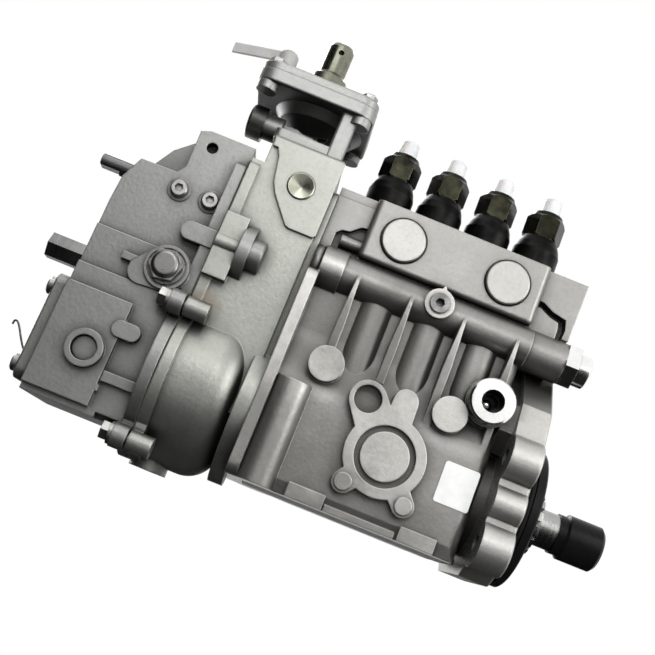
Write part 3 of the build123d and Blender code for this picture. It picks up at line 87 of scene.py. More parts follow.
def maths(tree, operation, *values):
    return put(tree, "ShaderNodeMath", dict(enumerate(values)), operation=operation).outputs[0]


def axes(tree, vector):
    """The X, Y and Z sockets of a vector."""
    return put(tree, "ShaderNodeSeparateXYZ", {0: vector}).outputs


def distance(tree, first, second):
    apart = put(tree, "ShaderNodeVectorMath", {0: first, 1: second}, operation="DISTANCE")
    return apart.outputs["Value"]


def brighter(colour, times, lift=0.0):
    return tuple(min(1.0, c * times + lift) for c in colour)


def darker(colour, times):
    return tuple(c * times for c in colour)


def mix(tree, factor, first, second, mode="MIX"):
    """Colour mix; each side is a colour or a socket."""
    first = first if isinstance(first, bpy.types.NodeSocket) else (*first, 1.0)
    second = second if isinstance(second, bpy.types.NodeSocket) else (*second, 1.0)
    made = put(
        tree, "ShaderNodeMix", {0: factor, 6: first, 7: second}, data_type="RGBA", blend_type=mode
    )
    return made.outputs[2]


def ramp(tree, value, low, high, out_low=0.0, out_high=1.0):
    """Linear map of a value from low..high, clamped."""
    return put(
        tree,
        "ShaderNodeMapRange",
        {"Value": value, "From Min": low, "From Max": high, "To Min": out_low, "To Max": out_high},
    ).outputs[0]


def noise(tree, place, scale, detail, rough, stretch=None):
    """Noise of a scale per metre; stretch multiplies the place along each axis first."""
    if stretch is not None:
        place = put(tree, "ShaderNodeMapping", {"Vector": place, "Scale": stretch}).outputs[0]
    return put(
        tree,
        "ShaderNodeTexNoise",
        {"Vector": place, "Scale": scale, "Detail": detail, "Roughness": rough},
    ).outputs[0]


def dress(tree, shader, tone, roughness, relief, rounded, strength, depth):
    """Feeds a finish's shader with its colour, its roughness and the bump of its relief."""
    bump = put(
        tree,
        "ShaderNodeBump",
        {"Strength": strength, "Distance": depth, "Height": relief, "Normal": rounded},
    )
    tree.links.new(tone, shader.inputs["Base Color"])
    tree.links.new(roughness, shader.inputs["Roughness"])
    tree.links.new(bump.outputs[0], shader.inputs["Normal"])


def begin(name, colour, rough, metal=0.0, **sockets):
    """A material with its shader's plain values set on the shader itself."""
    material = bpy.data.materials.new(name)
    material.use_nodes = True
    tree = material.node_tree
    shader = tree.nodes["Principled BSDF"]
    shader.inputs["Base Color"].default_value = (*colour, 1.0)
    shader.inputs["Roughness"].default_value = rough
    shader.inputs["Metallic"].default_value = metal
    for key, value in sockets.items():
        shader.inputs[key.replace("_", " ")].default_value = value
    place = put(tree, "ShaderNodeTexCoord").outputs["Object"]
    material.diffuse_color = (*colour, 1.0)
    return material, tree, shader, place


def crevice(tree, reach):
    """1 on open surface, falling towards 0 in corners within reach."""
    return put(
        tree, "ShaderNodeAmbientOcclusion", {"Distance": reach}, samples=6, only_local=False
    ).outputs["AO"]


def edge_wear_and_highlight(tree, radius):
    """0 on flats, rising on edges sharper than the radius, and the normal that rounds them."""
    rounded = put(tree, "ShaderNodeBevel", {"Radius": radius}, samples=4).outputs[0]
    plain = put(tree, "ShaderNodeNewGeometry").outputs["Normal"]
    dot = put(tree, "ShaderNodeVectorMath", {0: rounded, 1: plain}, operation="DOT_PRODUCT")
    return maths(tree, "SUBTRACT", 1.0, dot.outputs["Value"]), rounded


def flat_mask(tree, place, planes):
    """1 on the machined faces, each given as an axis letter and its place in metres."""
    parts = axes(tree, place)
    normal = axes(tree, put(tree, "ShaderNodeNewGeometry").outputs["True Normal"])
    total = None
    for axis, level in planes:
        near = maths(tree, "COMPARE", parts[axis], level, PLANE_SLACK)
        facing = maths(tree, "GREATER_THAN", maths(tree, "ABSOLUTE", normal[axis]), PLANE_FACING)
        one = maths(tree, "MULTIPLY", near, facing)
        total = one if total is None else maths(tree, "MAXIMUM", total, one)
    return total


# Finishes
# Radii of the edges painted lighter, as worn edges and painted highlight, and how far painted
# shade reaches out of corners and valleys, in metres
CAST_EDGE = 0.0011
STEEL_EDGE = 0.0004
MOULDED_EDGE = 0.0005
OXIDE_EDGE = 0.0006
CAST_CORNER = 0.009
CAST_VALLEY = 0.04
STEEL_CORNER = 0.003

# A milled face lies within the slack of its plane, and its normal points this much along it
PLANE_SLACK = 0.00012
PLANE_FACING = 0.98

# Painted light and shade: the pump casting is painted lighter on its proud faces and on its
# flange, and darker elsewhere
PROUD_LIGHT = (1.24, 1.24, 1.24)
SKIN_SHADE = (0.72, 0.72, 0.72)
PROUD_FADE = 0.0005
FLANGE_BACK = (-0.024, -0.014)
FLANGE_TOP = (0.07, 0.06)


def cast_metal(
    name, colour, shade, planes=(), grain=1.0, stains_and_shade_patches=(), hollow_shade=0.72, proud_from=None, under=0.45
):
    """Sand-cast aluminium: grainy skin, painted shade in corners and valleys, edges painted
    lighter, milled planes.

    shade is the painted shade's colour, laid with one strength in valleys and corners and with
    under on undersides.
    Each stain or painted shade patch is a centre, a radius and a colour. Faces further out along Y
    than proud_from, and the mounting flange, are painted lighter than the skin between them, as
    painted light and shade.
    """
    material, tree, shader, place = begin(name, colour, 0.5, 0.85)
    fine = noise(tree, place, 1500.0, 3.0, 0.6)
    lumps = noise(tree, place, 420.0, 2.0, 0.5)
    cloud = noise(tree, place, 34.0, 4.0, 0.62)
    edge, rounded = edge_wear_and_highlight(tree, CAST_EDGE)
    corner = crevice(tree, CAST_CORNER)
    valley = crevice(tree, CAST_VALLEY)
    in_corner = min(0.9, 1.25 * hollow_shade)
    tone = mix(tree, ramp(tree, cloud, 0.35, 0.68), darker(colour, 0.95), brighter(colour, 1.06))
    tone = mix(tree, ramp(tree, lumps, 0.45, 0.75, 0.0, 0.1), tone, shade)
    # Painted shade: darker towards the shade colour in valleys and corners
    tone = mix(tree, ramp(tree, valley, 0.35, 0.95, hollow_shade, 0.0), tone, shade)
    tone = mix(tree, ramp(tree, corner, 0.25, 0.95, in_corner, 0.0), tone, shade)
    # Painted shade: faces that point down are darker
    facing = axes(tree, put(tree, "ShaderNodeNewGeometry").outputs["True Normal"])["Z"]
    tone = mix(tree, ramp(tree, facing, -0.2, -0.8, 0.0, under), tone, shade)
    # Painted light and shade: proud faces and the flange lighter, the skin between them darker
    if proud_from:
        parts = axes(tree, place)
        depth = maths(tree, "ABSOLUTE", parts["Y"])
        proud = ramp(tree, depth, proud_from - PROUD_FADE, proud_from + PROUD_FADE)
        ahead = ramp(tree, parts["X"], *FLANGE_BACK)
        flange = maths(tree, "MULTIPLY", ahead, ramp(tree, parts["Z"], *FLANGE_TOP))
        lit_and_shaded = mix(tree, maths(tree, "MAXIMUM", proud, flange), SKIN_SHADE, PROUD_LIGHT)
        tone = mix(tree, 1.0, tone, lit_and_shaded, "MULTIPLY")
    # Stains, and painted shade patches
    for centre, radius, tint in stains_and_shade_patches:
        ragged = maths(tree, "MULTIPLY", maths(tree, "SUBTRACT", cloud, 0.5), radius)
        away = maths(tree, "ADD", distance(tree, place, centre), ragged)
        tone = mix(tree, ramp(tree, away, radius * 0.5, radius, 0.65, 0.0), tone, tint)
    # Edges painted lighter: partly worn, partly painted highlight
    tone = mix(tree, ramp(tree, edge, 0.01, 0.15, 0.0, 0.5), tone, brighter(colour, 1.7))
    grit = maths(tree, "MULTIPLY", fine, 0.45)
    height = maths(tree, "ADD", grit, maths(tree, "MULTIPLY", lumps, 0.8))
    roughness = ramp(tree, fine, 0.3, 0.7, 0.36, 0.5)
    if planes:
        cut = flat_mask(tree, place, planes)
        lines = noise(tree, place, 900.0, 2.0, 0.5, stretch=(0.12, 1.0, 1.0))
        cast_height = maths(tree, "MULTIPLY", height, maths(tree, "SUBTRACT", 1.0, cut))
        height = maths(tree, "ADD", cast_height, maths(tree, "MULTIPLY", lines, 0.14))
        streaks = ramp(tree, lines, 0.35, 0.7)
        milled = mix(tree, streaks, brighter(colour, 1.15), brighter(colour, 1.4))
        tone = mix(tree, maths(tree, "MULTIPLY", cut, 0.8), tone, milled)
        roughness = maths(tree, "SUBTRACT", roughness, maths(tree, "MULTIPLY", cut, 0.14))
    dress(tree, shader, tone, roughness, height, rounded, strength=0.42 * grain, depth=0.00035)
    return material


def plated(name, colour, second, rough, bore=None):
    """Plated or dull steel, clouded with a second colour.

    bore is a hole along Y, as its (x, z) and radius, painted near black inside as painted shade,
    with the ball in it, as its centre and radius: the ball stays bright.
    """
    corner_shade_colour = (0.05, 0.05, 0.045)
    material, tree, shader, place = begin(name, colour, rough, 1.0)
    cloud = noise(tree, place, 140.0, 3.0, 0.6)
    fine = noise(tree, place, 2200.0, 2.0, 0.5)
    edge, rounded = edge_wear_and_highlight(tree, STEEL_EDGE)
    tone = mix(tree, ramp(tree, cloud, 0.4, 0.62, 0.0, 0.5), colour, second)
    # Painted shade in corners
    tone = mix(tree, ramp(tree, crevice(tree, STEEL_CORNER), 0.3, 0.85, 0.7, 0.0), tone, corner_shade_colour)
    # Edges painted lighter: partly worn, partly painted highlight
    tone = mix(tree, ramp(tree, edge, 0.02, 0.2, 0.0, 0.35), tone, brighter(colour, 1.3, 0.03))
    # Painted shade: the hole is painted near black, except for the ball
    if bore:
        (axis_x, axis_z), reach, ball_centre, ball_radius = bore
        parts = axes(tree, place)
        flat = put(tree, "ShaderNodeCombineXYZ", {"X": parts["X"], "Z": parts["Z"]}).outputs[0]
        inside = maths(tree, "LESS_THAN", distance(tree, flat, (axis_x, 0.0, axis_z)), reach)
        off_ball = maths(tree, "GREATER_THAN", distance(tree, place, ball_centre), ball_radius)
        inside = maths(tree, "MULTIPLY", inside, off_ball)
        tone = mix(tree, maths(tree, "MULTIPLY", inside, 0.97), tone, (0.01, 0.01, 0.01))
    roughness = ramp(tree, cloud, 0.3, 0.7, rough * 0.8, rough * 1.35)
    dress(tree, shader, tone, roughness, fine, rounded, strength=0.25, depth=0.00006)
    return material


def turned_steel(name, colour, rough, axis):
    """Machined steel with fine turning lines round the axis X or Z."""
    material, tree, shader, place = begin(name, colour, rough, 1.0)
    stretch = {"X": (1.0, 0.01, 0.01), "Z": (0.01, 0.01, 1.0)}[axis]
    lines = noise(tree, place, 2600.0, 2.0, 0.6, stretch=stretch)
    cloud = noise(tree, place, 60.0, 3.0, 0.6)
    edge, rounded = edge_wear_and_highlight(tree, STEEL_EDGE)
    # Painted shade in corners
    corner_shade_mask = ramp(tree, crevice(tree, STEEL_CORNER), 0.3, 0.85, 0.7, 0.0)
    tone = mix(tree, ramp(tree, cloud, 0.35, 0.7), darker(colour, 0.8), brighter(colour, 1.12))
    tone = mix(tree, corner_shade_mask, tone, darker(colour, 0.15))
    # Edges painted lighter: partly worn, partly painted highlight
    tone = mix(tree, ramp(tree, edge, 0.02, 0.2, 0.0, 0.4), tone, brighter(colour, 1.4))
    roughness = ramp(tree, lines, 0.3, 0.7, rough * 0.8, rough * 1.3)
    dress(tree, shader, tone, roughness, lines, rounded, strength=0.12, depth=0.00002)
    return material


def moulded(name, colour, rough, **sockets):
    """Moulded plastic, rubber or paper with a faint skin."""
    material, tree, shader, place = begin(name, colour, rough, 0.0, **sockets)
    fine = noise(tree, place, 1800.0, 2.0, 0.5)
    cloud = noise(tree, place, 90.0, 3.0, 0.55)
    edge, rounded = edge_wear_and_highlight(tree, MOULDED_EDGE)
    tone = mix(tree, ramp(tree, cloud, 0.35, 0.7), darker(colour, 0.92), brighter(colour, 1.06))
    # Edges painted lighter: partly worn, partly painted highlight
    tone = mix(tree, ramp(tree, edge, 0.02, 0.25, 0.0, 0.25), tone, brighter(colour, 1.25, 0.02))
    roughness = ramp(tree, cloud, 0.3, 0.7, rough * 0.9, rough * 1.12)
    dress(tree, shader, tone, roughness, fine, rounded, strength=0.2, depth=0.00006)
    return material


def black_oxide(name, hexagon_foot):
    """Oiled black oxide: a dull round body, and a glossy hexagon above hexagon_foot."""
    material, tree, shader, place = begin(name, (0.03, 0.031, 0.022), 0.2, 1.0)
    fade = 0.0006
    upper = ramp(tree, axes(tree, place)["Z"], hexagon_foot - fade, hexagon_foot + fade)
    cloud = noise(tree, place, 120.0, 3.0, 0.6)
    fine = noise(tree, place, 1900.0, 2.0, 0.5)
    edge, rounded = edge_wear_and_highlight(tree, OXIDE_EDGE)
    cloudy = ramp(tree, cloud, 0.35, 0.68)
    gloss = mix(tree, cloudy, (0.008, 0.008, 0.006), (0.026, 0.026, 0.017))
    dull = mix(tree, cloudy, (0.006, 0.006, 0.006), (0.014, 0.0135, 0.013))
    tone = mix(tree, upper, dull, gloss)
    # Edges painted lighter: partly worn, partly painted glints
    tone = mix(tree, ramp(tree, edge, 0.02, 0.2, 0.0, 0.45), tone, (0.3, 0.3, 0.22))
    roughness = ramp(tree, upper, 0.0, 1.0, 0.42, 0.16)
    dress(tree, shader, tone, roughness, fine, rounded, strength=0.25, depth=0.00006)
    return material


# Colours of the castings, of the painted shade in their corners, valleys and undersides, which
# also darkens their grain, of the painted shade patches and the rust stain on them, and of the
# caps
PUMP = (0.40, 0.394, 0.374)
PUMP_SHADE = (0.04, 0.038, 0.034)
FRONT = (0.36, 0.366, 0.335)
FRONT_SHADE = (0.032, 0.033, 0.028)
HEAD = (0.33, 0.332, 0.32)
HEAD_SHADE = (0.02, 0.02, 0.02)
REAR = (0.29, 0.29, 0.28)
REAR_SHADE = (0.022, 0.022, 0.02)
SHADE_PATCH = (0.15, 0.147, 0.135)
RUST = (0.25, 0.21, 0.165)
WHITE_CAP = (0.90, 0.91, 0.91)
BLACK_CAP = (0.006, 0.006, 0.006)
BLACK_COVER = (0.008, 0.008, 0.008)

# Places that the finishes follow, in metres
DRIVE_FACE = housing_high.x
FLANGE_THICKNESS = 0.0195
BLOCK_TOP = housing_high.z
BASE_DEPTH = 0.0435
CRANK_WALL = 0.048
HEXAGON_FOOT = BLOCK_TOP + 0.0294
INLET_AXIS = (-0.0394, 0.0536)
INLET_REACH = 0.0071
BALL_CENTRE = (INLET_AXIS[0] - 0.0012, -0.0436, INLET_AXIS[1] - 0.0018)
BALL_RADIUS = 0.0041

zinc = plated("zinc_bright", (0.94, 0.94, 0.92), (0.8, 0.8, 0.78), rough=0.16)
olive = plated("zinc_olive", (0.24, 0.24, 0.19), (0.10, 0.11, 0.075), rough=0.2)
holder_black = black_oxide("holder_black_oxide", HEXAGON_FOOT)
steel_x = turned_steel("shaft_steel", (0.40, 0.40, 0.39), 0.24, "X")
steel_z = turned_steel("element_steel", (0.55, 0.55, 0.54), 0.22, "Z")
spring_wire = turned_steel("spring_wire", (0.28, 0.28, 0.29), 0.3, "Z")
dull_steel = plated("dull_steel", (0.40, 0.395, 0.38), (0.27, 0.26, 0.24), rough=0.36)
dark_steel = turned_steel("lever_shaft_steel", (0.15, 0.15, 0.148), 0.34, "X")

finishes = {
    "pump_housing": cast_metal(
        "pump_casting",
        PUMP,
        PUMP_SHADE,
        planes=[
            ("X", DRIVE_FACE),
            ("X", DRIVE_FACE - FLANGE_THICKNESS),
            ("Z", BLOCK_TOP),
            ("Z", -BASE_DEPTH),
        ],
        proud_from=CRANK_WALL + 0.0004,
        # Painted shade: darker patches on the crankcase
        stains_and_shade_patches=[
            ((-0.165, -0.045, -0.045), 0.085, SHADE_PATCH),
            ((-0.085, -0.045, -0.062), 0.055, SHADE_PATCH),
            ((-0.120, -0.035, 0.060), 0.050, SHADE_PATCH),
        ],
    ),
    "base_cover": cast_metal("base_casting", PUMP, PUMP_SHADE, grain=0.6),
    "block_discs": cast_metal("disc_casting", PUMP, PUMP_SHADE, grain=0.5),
    "governor_front": cast_metal(
        "front_casting", FRONT, FRONT_SHADE, stains_and_shade_patches=[((-0.221, -0.047, 0.047), 0.011, RUST)]
    ),
    # The neck: little painted shade in its hollows, strong painted shade on its undersides
    "comp_housing": cast_metal("neck_casting", HEAD, HEAD_SHADE, hollow_shade=0.25, under=0.95),
    "comp_lid": cast_metal("lid_casting", HEAD, FRONT_SHADE, grain=0.7),
    "governor_rear": cast_metal("rear_casting", REAR, REAR_SHADE),
    "end_plate": cast_metal("plate_casting", REAR, REAR_SHADE, grain=0.8),
    "side_cap": cast_metal("side_cap_casting", REAR, REAR_SHADE, grain=0.6),
    "ring_plug": cast_metal("ring_plug_casting", REAR, REAR_SHADE, grain=0.5),
    "outlet_caps": moulded(
        "white_cap_plastic", WHITE_CAP, 0.34, Subsurface_Weight=0.35, Subsurface_Scale=0.004
    ),
    "side_fitting": moulded(
        "seal_plastic", (0.50, 0.50, 0.49), 0.4, Subsurface_Weight=0.2, Subsurface_Scale=0.003
    ),
    "drive_cap": moulded("black_cap_plastic", BLACK_CAP, 0.3, Specular_IOR_Level=0.12),
    "bearing_cover": moulded("black_cover", BLACK_COVER, 0.3, Specular_IOR_Level=0.12),
    "pilot_ring": moulded("seal_rubber_skin", BLACK_COVER, 0.6, Specular_IOR_Level=0.1),
    "governor_gasket": moulded("gasket_fibre", (0.06, 0.05, 0.04), 0.8),
    "adjuster_cap": plated("adjuster_steel", (0.10, 0.10, 0.095), (0.06, 0.06, 0.058), rough=0.36),
    "domed_plug": plated("dull_plug", (0.30, 0.297, 0.285), (0.17, 0.165, 0.155), rough=0.32),
    "vent_plug": plated("vent_plug_steel", (0.17, 0.17, 0.165), (0.08, 0.08, 0.078), rough=0.32),
    "side_plug": plated("plug_steel", (0.50, 0.50, 0.42), (0.36, 0.37, 0.28), rough=0.3),
    "inlet_fitting": plated(
        "inlet_zinc",
        (0.95, 0.95, 0.93),
        (0.85, 0.85, 0.83),
        rough=0.2,
        bore=(INLET_AXIS, INLET_REACH, BALL_CENTRE, BALL_RADIUS),
    ),
    "rack_cap_nut": zinc,
    "boost_stub": olive,
}
for name in ("end_screws", "seam_bolts", "cover_screws", "comp_screws"):
    finishes[name] = dull_steel
for name in ("upper_shaft", "lower_shaft"):
    finishes[name] = dark_steel
for name in ("barrels", "delivery_valves", "comp_rod"):
    finishes[name] = steel_z
for k in range(1, 5):
    finishes[f"valve_holder_{k}"] = holder_black
    for part in ("roller_tappet", "plunger", "control_sleeve"):
        finishes[f"{part}_{k}"] = steel_z
for name, node in nodes.items():
    node.data.materials.clear()
    node.data.materials.append(finishes.get(name, steel_x))


# Pieces that the frame lacks
def placed(name, data):
    """A new object in the scene that holds the data."""
    made = bpy.data.objects.new(name, data)
    bpy.context.scene.collection.objects.link(made)
    return made


def faceted(name, points, faces, material):
    """A flat-shaded mesh object through points in millimetres."""
    mesh = bpy.data.meshes.new(name)
    mesh.from_pydata([Vector(point) * MM for point in points], [], faces)
    mesh.validate()
    mesh.materials.append(material)
    return placed(name, mesh)


def plain_piece(name, maker, place=Matrix.Identity(4)):
    """A smooth plain mesh of what the maker evaluates to, moved to its place; the maker goes."""
    bpy.context.view_layer.update()
    graph = bpy.context.evaluated_depsgraph_get()
    mesh = bpy.data.meshes.new_from_object(maker.evaluated_get(graph))
    mesh.name = name
    mesh.transform(place)
    bpy.data.objects.remove(maker)
    for polygon in mesh.polygons:
        polygon.use_smooth = True
    return placed(name, mesh)


# Helical springs, each in place of a tube node of the frame
def coil_tree():
    """Geometry Nodes: a wire along a helix, with named sizes in metres."""
    tree = bpy.data.node_groups.new("coil_spring", "GeometryNodeTree")
    face = tree.interface
    face.new_socket("Geometry", in_out="INPUT", socket_type="NodeSocketGeometry")
    for label in ("Length", "Mean Radius", "Wire Radius", "Turns"):
        face.new_socket(label, in_out="INPUT", socket_type="NodeSocketFloat")
    face.new_socket("Material", in_out="INPUT", socket_type="NodeSocketMaterial")
    face.new_socket("Geometry", in_out="OUTPUT", socket_type="NodeSocketGeometry")
    given = put(tree, "NodeGroupInput").outputs
    spiral = put(
        tree,
        "GeometryNodeCurveSpiral",
        {
            "Resolution": 26,
            "Rotations": given["Turns"],
            "Start Radius": given["Mean Radius"],
            "End Radius": given["Mean Radius"],
            "Height": given["Length"],
        },
    )
    profile = put(
        tree,
        "GeometryNodeCurvePrimitiveCircle",
        {"Resolution": 10, "Radius": given["Wire Radius"]},
    )
    wire = put(
        tree,
        "GeometryNodeCurveToMesh",
        {"Curve": spiral.outputs[0], "Profile Curve": profile.outputs[0], "Fill Caps": True},
    )
    plain = put(tree, "GeometryNodeRealizeInstances", {0: wire.outputs[0]})
    coated = put(
        tree,
        "GeometryNodeSetMaterial",
        {"Geometry": plain.outputs[0], "Material": given["Material"]},
    )
    put(tree, "NodeGroupOutput", {0: coated.outputs[0]})
    return tree


coil = coil_tree()


def coil_maker(name, sizes):
    """An object that the coil tree shapes, with its named sizes set."""
    maker = placed(name, bpy.data.meshes.new(name))
    modifier = maker.modifiers.new("make", "NODES")
    modifier.node_group = coil
    inputs = [item for item in coil.interface.items_tree if item.in_out == "INPUT"]
    identifiers = {item.name: item.identifier for item in inputs}
    for label, value in sizes.items():
        modifier[identifiers[label]] = value
    return maker


def coil_spring(name, node, axis, turns, wire, fixed_low):
    """A wound spring in place of the tube node, which it hides."""
    low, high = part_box(node)
    along = "XYZ".index(axis)
    across = (along + 1) % 3
    outer = (high[across] - low[across]) / 2
    centre = (low + high) / 2
    centre[along] = low[along] + wire
    turn = Matrix.Rotation(math.radians(90), 4, "Y") if axis == "X" else Matrix.Identity(4)
    sizes = {
        "Length": high[along] - low[along] - 2 * wire,
        "Mean Radius": outer - wire,
        "Wire Radius": wire,
        "Turns": turns,
        "Material": spring_wire,
    }
    maker = coil_maker(name + "_maker", sizes)
    made = plain_piece(name, maker, Matrix.Translation(centre) @ turn)
    start, end = centre.copy(), centre.copy()
    start[along] = low[along] if fixed_low else high[along]
    end[along] = high[along] if fixed_low else low[along]
    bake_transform(made)
    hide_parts(node)


for k in range(1, 5):
    coil_spring(
        f"spring_coil_{k}",
        f"plunger_spring_{k}",
        "Z",
        turns=6.0,
        wire=1.6 * MM,
        fixed_low=False,
    )
coil_spring(
    "governor_coil",
    "governor_spring",
    "X",
    turns=5.0,
    wire=1.2 * MM,
    fixed_low=True,
)


# Short collar that closes the rack gallery at the governor joint
def collar(name, ends, axis, radius, material, steps=64):
    """A round closed collar between two places along X, about an axis through (y, z)."""
    y, z = axis
    angles = [2 * math.pi * i / steps for i in range(steps)]
    points = [
        (x, y + radius * math.cos(angle), z + radius * math.sin(angle))
        for x in ends
        for angle in angles
    ]
    faces = [tuple(reversed(range(steps))), tuple(range(steps, 2 * steps))]
    faces += [(i, (i + 1) % steps, (i + 1) % steps + steps, i + steps) for i in range(steps)]
    made = faceted(name, points, faces, material)
    for polygon in made.data.polygons[2:]:
        polygon.use_smooth = True
    return made


seam = housing_low.x / MM
rack = (rack_low + rack_high) / 2 / MM
gallery_collar = collar(
    "gallery_collar",
    ends=(seam + 0.2, seam + 6.5),
    axis=(rack.y - 3.0, rack.z),
    radius=12.6,
    material=finishes["pump_housing"],
)
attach(gallery_collar, "pump")


# Blank white label on the crankcase
def rounded_outline(width, height, radius, steps=6):
    """Points round a rectangle with rounded corners, about its middle."""
    right, top = width / 2 - radius, height / 2 - radius
    points = []
    corners = ((right, top, 0), (-right, top, 90), (-right, -top, 180), (right, -top, 270))
    for x, y, first in corners:
        for i in range(steps + 1):
            angle = math.radians(first + 90 * i / steps)
            points.append((x + radius * math.cos(angle), y + radius * math.sin(angle)))
    return points


def label_plate(name, centre, width, height, thick, corner, material):
    """A thin plate with rounded corners, whose back is at centre and whose face looks along -Y."""
    outline = rounded_outline(width, height, corner)
    count = len(outline)
    x, y, z = centre
    points = [(x + u, depth, z + v) for depth in (y, y - thick) for u, v in outline]
    faces = [tuple(range(count)), tuple(reversed(range(count, 2 * count)))]
    faces += [(i, i + count, (i + 1) % count + count, (i + 1) % count) for i in range(count)]
    return faceted(name, points, faces, material)


label = label_plate(
    "blank_label",
    centre=(-41.0, -CRANK_WALL / MM, -0.9),
    width=22.0,
    height=25.4,
    thick=0.25,
    corner=1.6,
    material=moulded("label_paper", (0.93, 0.93, 0.92), 0.55),
)
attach(label, "pump")


# Lock wire at the end plate
def bent_wire(name, points, radius, material):
    """A bent wire as a plain mesh tube, through the given points in millimetres."""
    curve = bpy.data.curves.new(name + "_path", "CURVE")
    curve.dimensions = "3D"
    curve.bevel_depth = radius * MM
    curve.bevel_resolution = 3
    curve.use_fill_caps = True
    spline = curve.splines.new("NURBS")
    spline.points.add(len(points) - 1)
    for point, (x, y, z) in zip(spline.points, points):
        point.co = (x * MM, y * MM, z * MM, 1.0)
    spline.order_u = 3
    spline.use_endpoint_u = True
    spline.resolution_u = 8
    made = plain_piece(name, placed(name + "_path", curve))
    bpy.data.curves.remove(curve)
    made.data.materials.clear()
    made.data.materials.append(material)
    return made


wire_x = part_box("end_plate")[0].x / MM
wire_y = -30.0
lock_wire = bent_wire(
    "lock_wire",
    [
        (wire_x + 1.0, wire_y, -23.0),
        (wire_x - 2.5, wire_y - 0.5, -20.5),
        (wire_x - 6.5, wire_y - 1.0, -15.0),
        (wire_x - 10.5, wire_y - 1.0, -8.5),
        (wire_x - 13.5, wire_y - 0.5, -5.0),
        (wire_x - 15.6, wire_y, -5.6),
        (wire_x - 15.4, wire_y, -8.2),
    ],
    radius=0.65,
    material=dark_steel,
)
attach(lock_wire, "pump")


# Studio
# Strengths, places in metres, and the lens and tilt of the photograph's view
WORLD_LIGHT = 0.03
FLOOR_DROP = 0.33
FLOOR_RADIUS = 1.0
FLOOR_GLOW = 0.75
CAMERA_PLACE = (-0.1474, -0.6398, -0.0665)
SENSOR_WIDTH = 36.0
FOCAL_PIXELS = 1000.0
PHOTO_PIXELS = 655.0
TILT = math.radians(12.0)
ROLL = math.radians(22.0)

middle = (cad_low + cad_high) / 2

world = bpy.data.worlds.new("studio")
bpy.context.scene.world = world
world.use_nodes = True
sky = world.node_tree
sky.nodes.clear()
ray = put(sky, "ShaderNodeLightPath").outputs
mirrored = maths(sky, "MAXIMUM", ray["Is Camera Ray"], ray["Is Glossy Ray"])
seen = maths(sky, "MAXIMUM", mirrored, ray["Is Transmission Ray"])
soft = put(
    sky, "ShaderNodeBackground", {"Color": (0.96, 0.98, 1.0, 1.0), "Strength": WORLD_LIGHT}
)
white = put(sky, "ShaderNodeBackground", {"Color": (1.0, 1.0, 1.0, 1.0), "Strength": 1.0})
chosen = put(sky, "ShaderNodeMixShader", {0: seen, 1: soft.outputs[0], 2: white.outputs[0]})
put(sky, "ShaderNodeOutputWorld", {0: chosen.outputs[0]})

floor_mesh = bpy.data.meshes.new("floor")
floor_shape = bmesh.new()
bmesh.ops.create_circle(floor_shape, cap_ends=True, segments=96, radius=FLOOR_RADIUS)
floor_shape.to_mesh(floor_mesh)
floor_shape.free()
floor = placed("floor", floor_mesh)
floor.location = (middle.x, 0.0, cad_low.z - FLOOR_DROP)
floor_finish, floor_tree, floor_shader, _ = begin("floor_paint", (0.82, 0.82, 0.82), 0.7)
floor_ray = put(floor_tree, "ShaderNodeLightPath").outputs
glow = put(floor_tree, "ShaderNodeEmission", {"Color": (1.0, 1.0, 1.0, 1.0), "Strength": 1.0})
floor_seen = maths(floor_tree, "MAXIMUM", floor_ray["Is Camera Ray"], floor_ray["Is Glossy Ray"])
glow_share = maths(floor_tree, "MULTIPLY", floor_seen, FLOOR_GLOW)
floor_mix = put(
    floor_tree,
    "ShaderNodeMixShader",
    {0: glow_share, 1: floor_shader.outputs[0], 2: glow.outputs[0]},
)
floor_tree.links.new(floor_mix.outputs[0], floor_tree.nodes["Material Output"].inputs[0])
floor_mesh.materials.append(floor_finish)

# The photograph looks up at the pump a little, and the pump stands slanted in it
forward = Vector((0.0, math.cos(TILT), math.sin(TILT)))
level_up = Vector((0.0, -math.sin(TILT), math.cos(TILT)))
level_right = Vector((1.0, 0.0, 0.0))
image_right = level_right * math.cos(ROLL) + level_up * math.sin(ROLL)
image_up = level_up * math.cos(ROLL) - level_right * math.sin(ROLL)

camera_data = bpy.data.cameras.new("camera")
camera_data.sensor_width = SENSOR_WIDTH
camera_data.lens = SENSOR_WIDTH * FOCAL_PIXELS / PHOTO_PIXELS
camera_data.clip_start = 0.01
camera_data.clip_end = 50.0
camera = placed("camera", camera_data)
turned = Matrix((image_right, image_up, -forward)).transposed().to_4x4()
camera.matrix_world = Matrix.Translation(CAMERA_PLACE) @ turned
bpy.context.scene.camera = camera


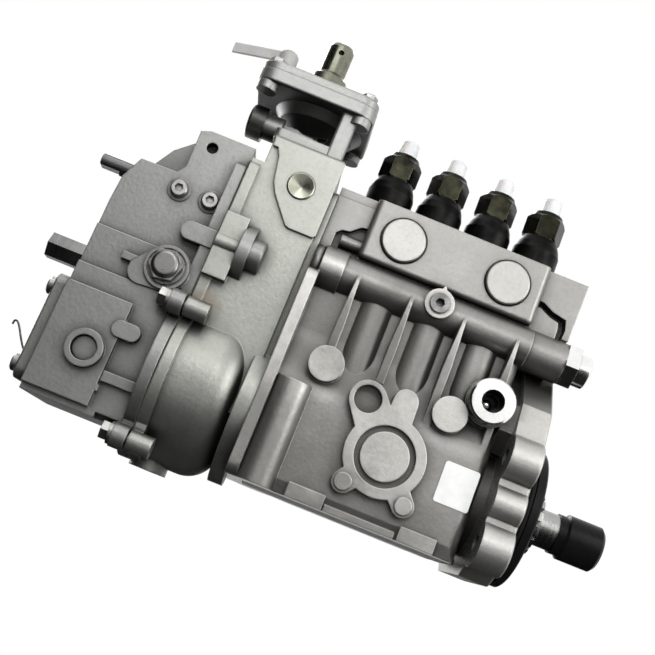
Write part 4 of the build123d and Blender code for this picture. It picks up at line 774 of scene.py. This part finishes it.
def softbox(name, direction, away, size, power):
    """An area lamp aimed at the object; direction is image right, up and towards the camera."""
    lamp = bpy.data.lights.new(name, "AREA")
    lamp.shape = "RECTANGLE"
    lamp.size, lamp.size_y = size
    lamp.energy = power
    right, up, near = direction
    way = (image_right * right + image_up * up - forward * near).normalized()
    holder = placed(name, lamp)
    holder.location = middle + way * away
    holder.rotation_mode = "QUATERNION"
    holder.rotation_quaternion = way.to_track_quat("Z", "Y")


softbox("key", (-0.05, 0.9, 0.9), away=0.75, size=(0.45, 0.25), power=0.55)
softbox("side", (1.0, 0.0, 0.6), away=0.62, size=(0.25, 0.4), power=1.9)
softbox("front", (0.14, 0.3, 1.0), away=1.0, size=(0.45, 0.7), power=5.0)
softbox("top", (0.1, 1.0, 0.2), away=1.0, size=(0.6, 0.3), power=1.4)
softbox("back", (-0.2, 0.45, -1.0), away=1.0, size=(0.7, 0.6), power=8.0)
softbox("back_left", (-1.0, 0.35, -0.9), away=0.9, size=(0.4, 0.5), power=5.0)

card_paint = begin("card_black", (0.01, 0.01, 0.01), 0.9, 0.0, Specular_IOR_Level=0.0)[0]


def dark_card(name, offset, size):
    """A black square beside the set, seen only in polished pieces, at offset from the middle."""
    mesh = bpy.data.meshes.new(name)
    shape = bmesh.new()
    bmesh.ops.create_grid(shape, x_segments=1, y_segments=1, size=size / 2)
    shape.to_mesh(mesh)
    shape.free()
    mesh.materials.append(card_paint)
    made = placed(name, mesh)
    made.location = middle + Vector(offset)
    made.rotation_mode = "QUATERNION"
    made.rotation_quaternion = Vector(offset).to_track_quat("Z", "Y")
    made.visible_camera = False
    made.visible_diffuse = False
    made.visible_shadow = False


# Painted reflection: black sheets that only reflections see, which darken the flanks of the metal
# pieces
dark_card("card_under", (0.0, 0.0, -0.30), 1.5)
dark_card("card_left", (-0.65, -0.1, 0.0), 1.1)
dark_card("card_low", (-0.2, -0.65, -0.25), 1.0)
dark_card("card_corner", (-0.55, -0.6, 0.0), 0.9)
dark_card("card_right", (0.5, -0.5, -0.3), 0.8)

bpy.context.scene.view_settings.view_transform = "Standard"
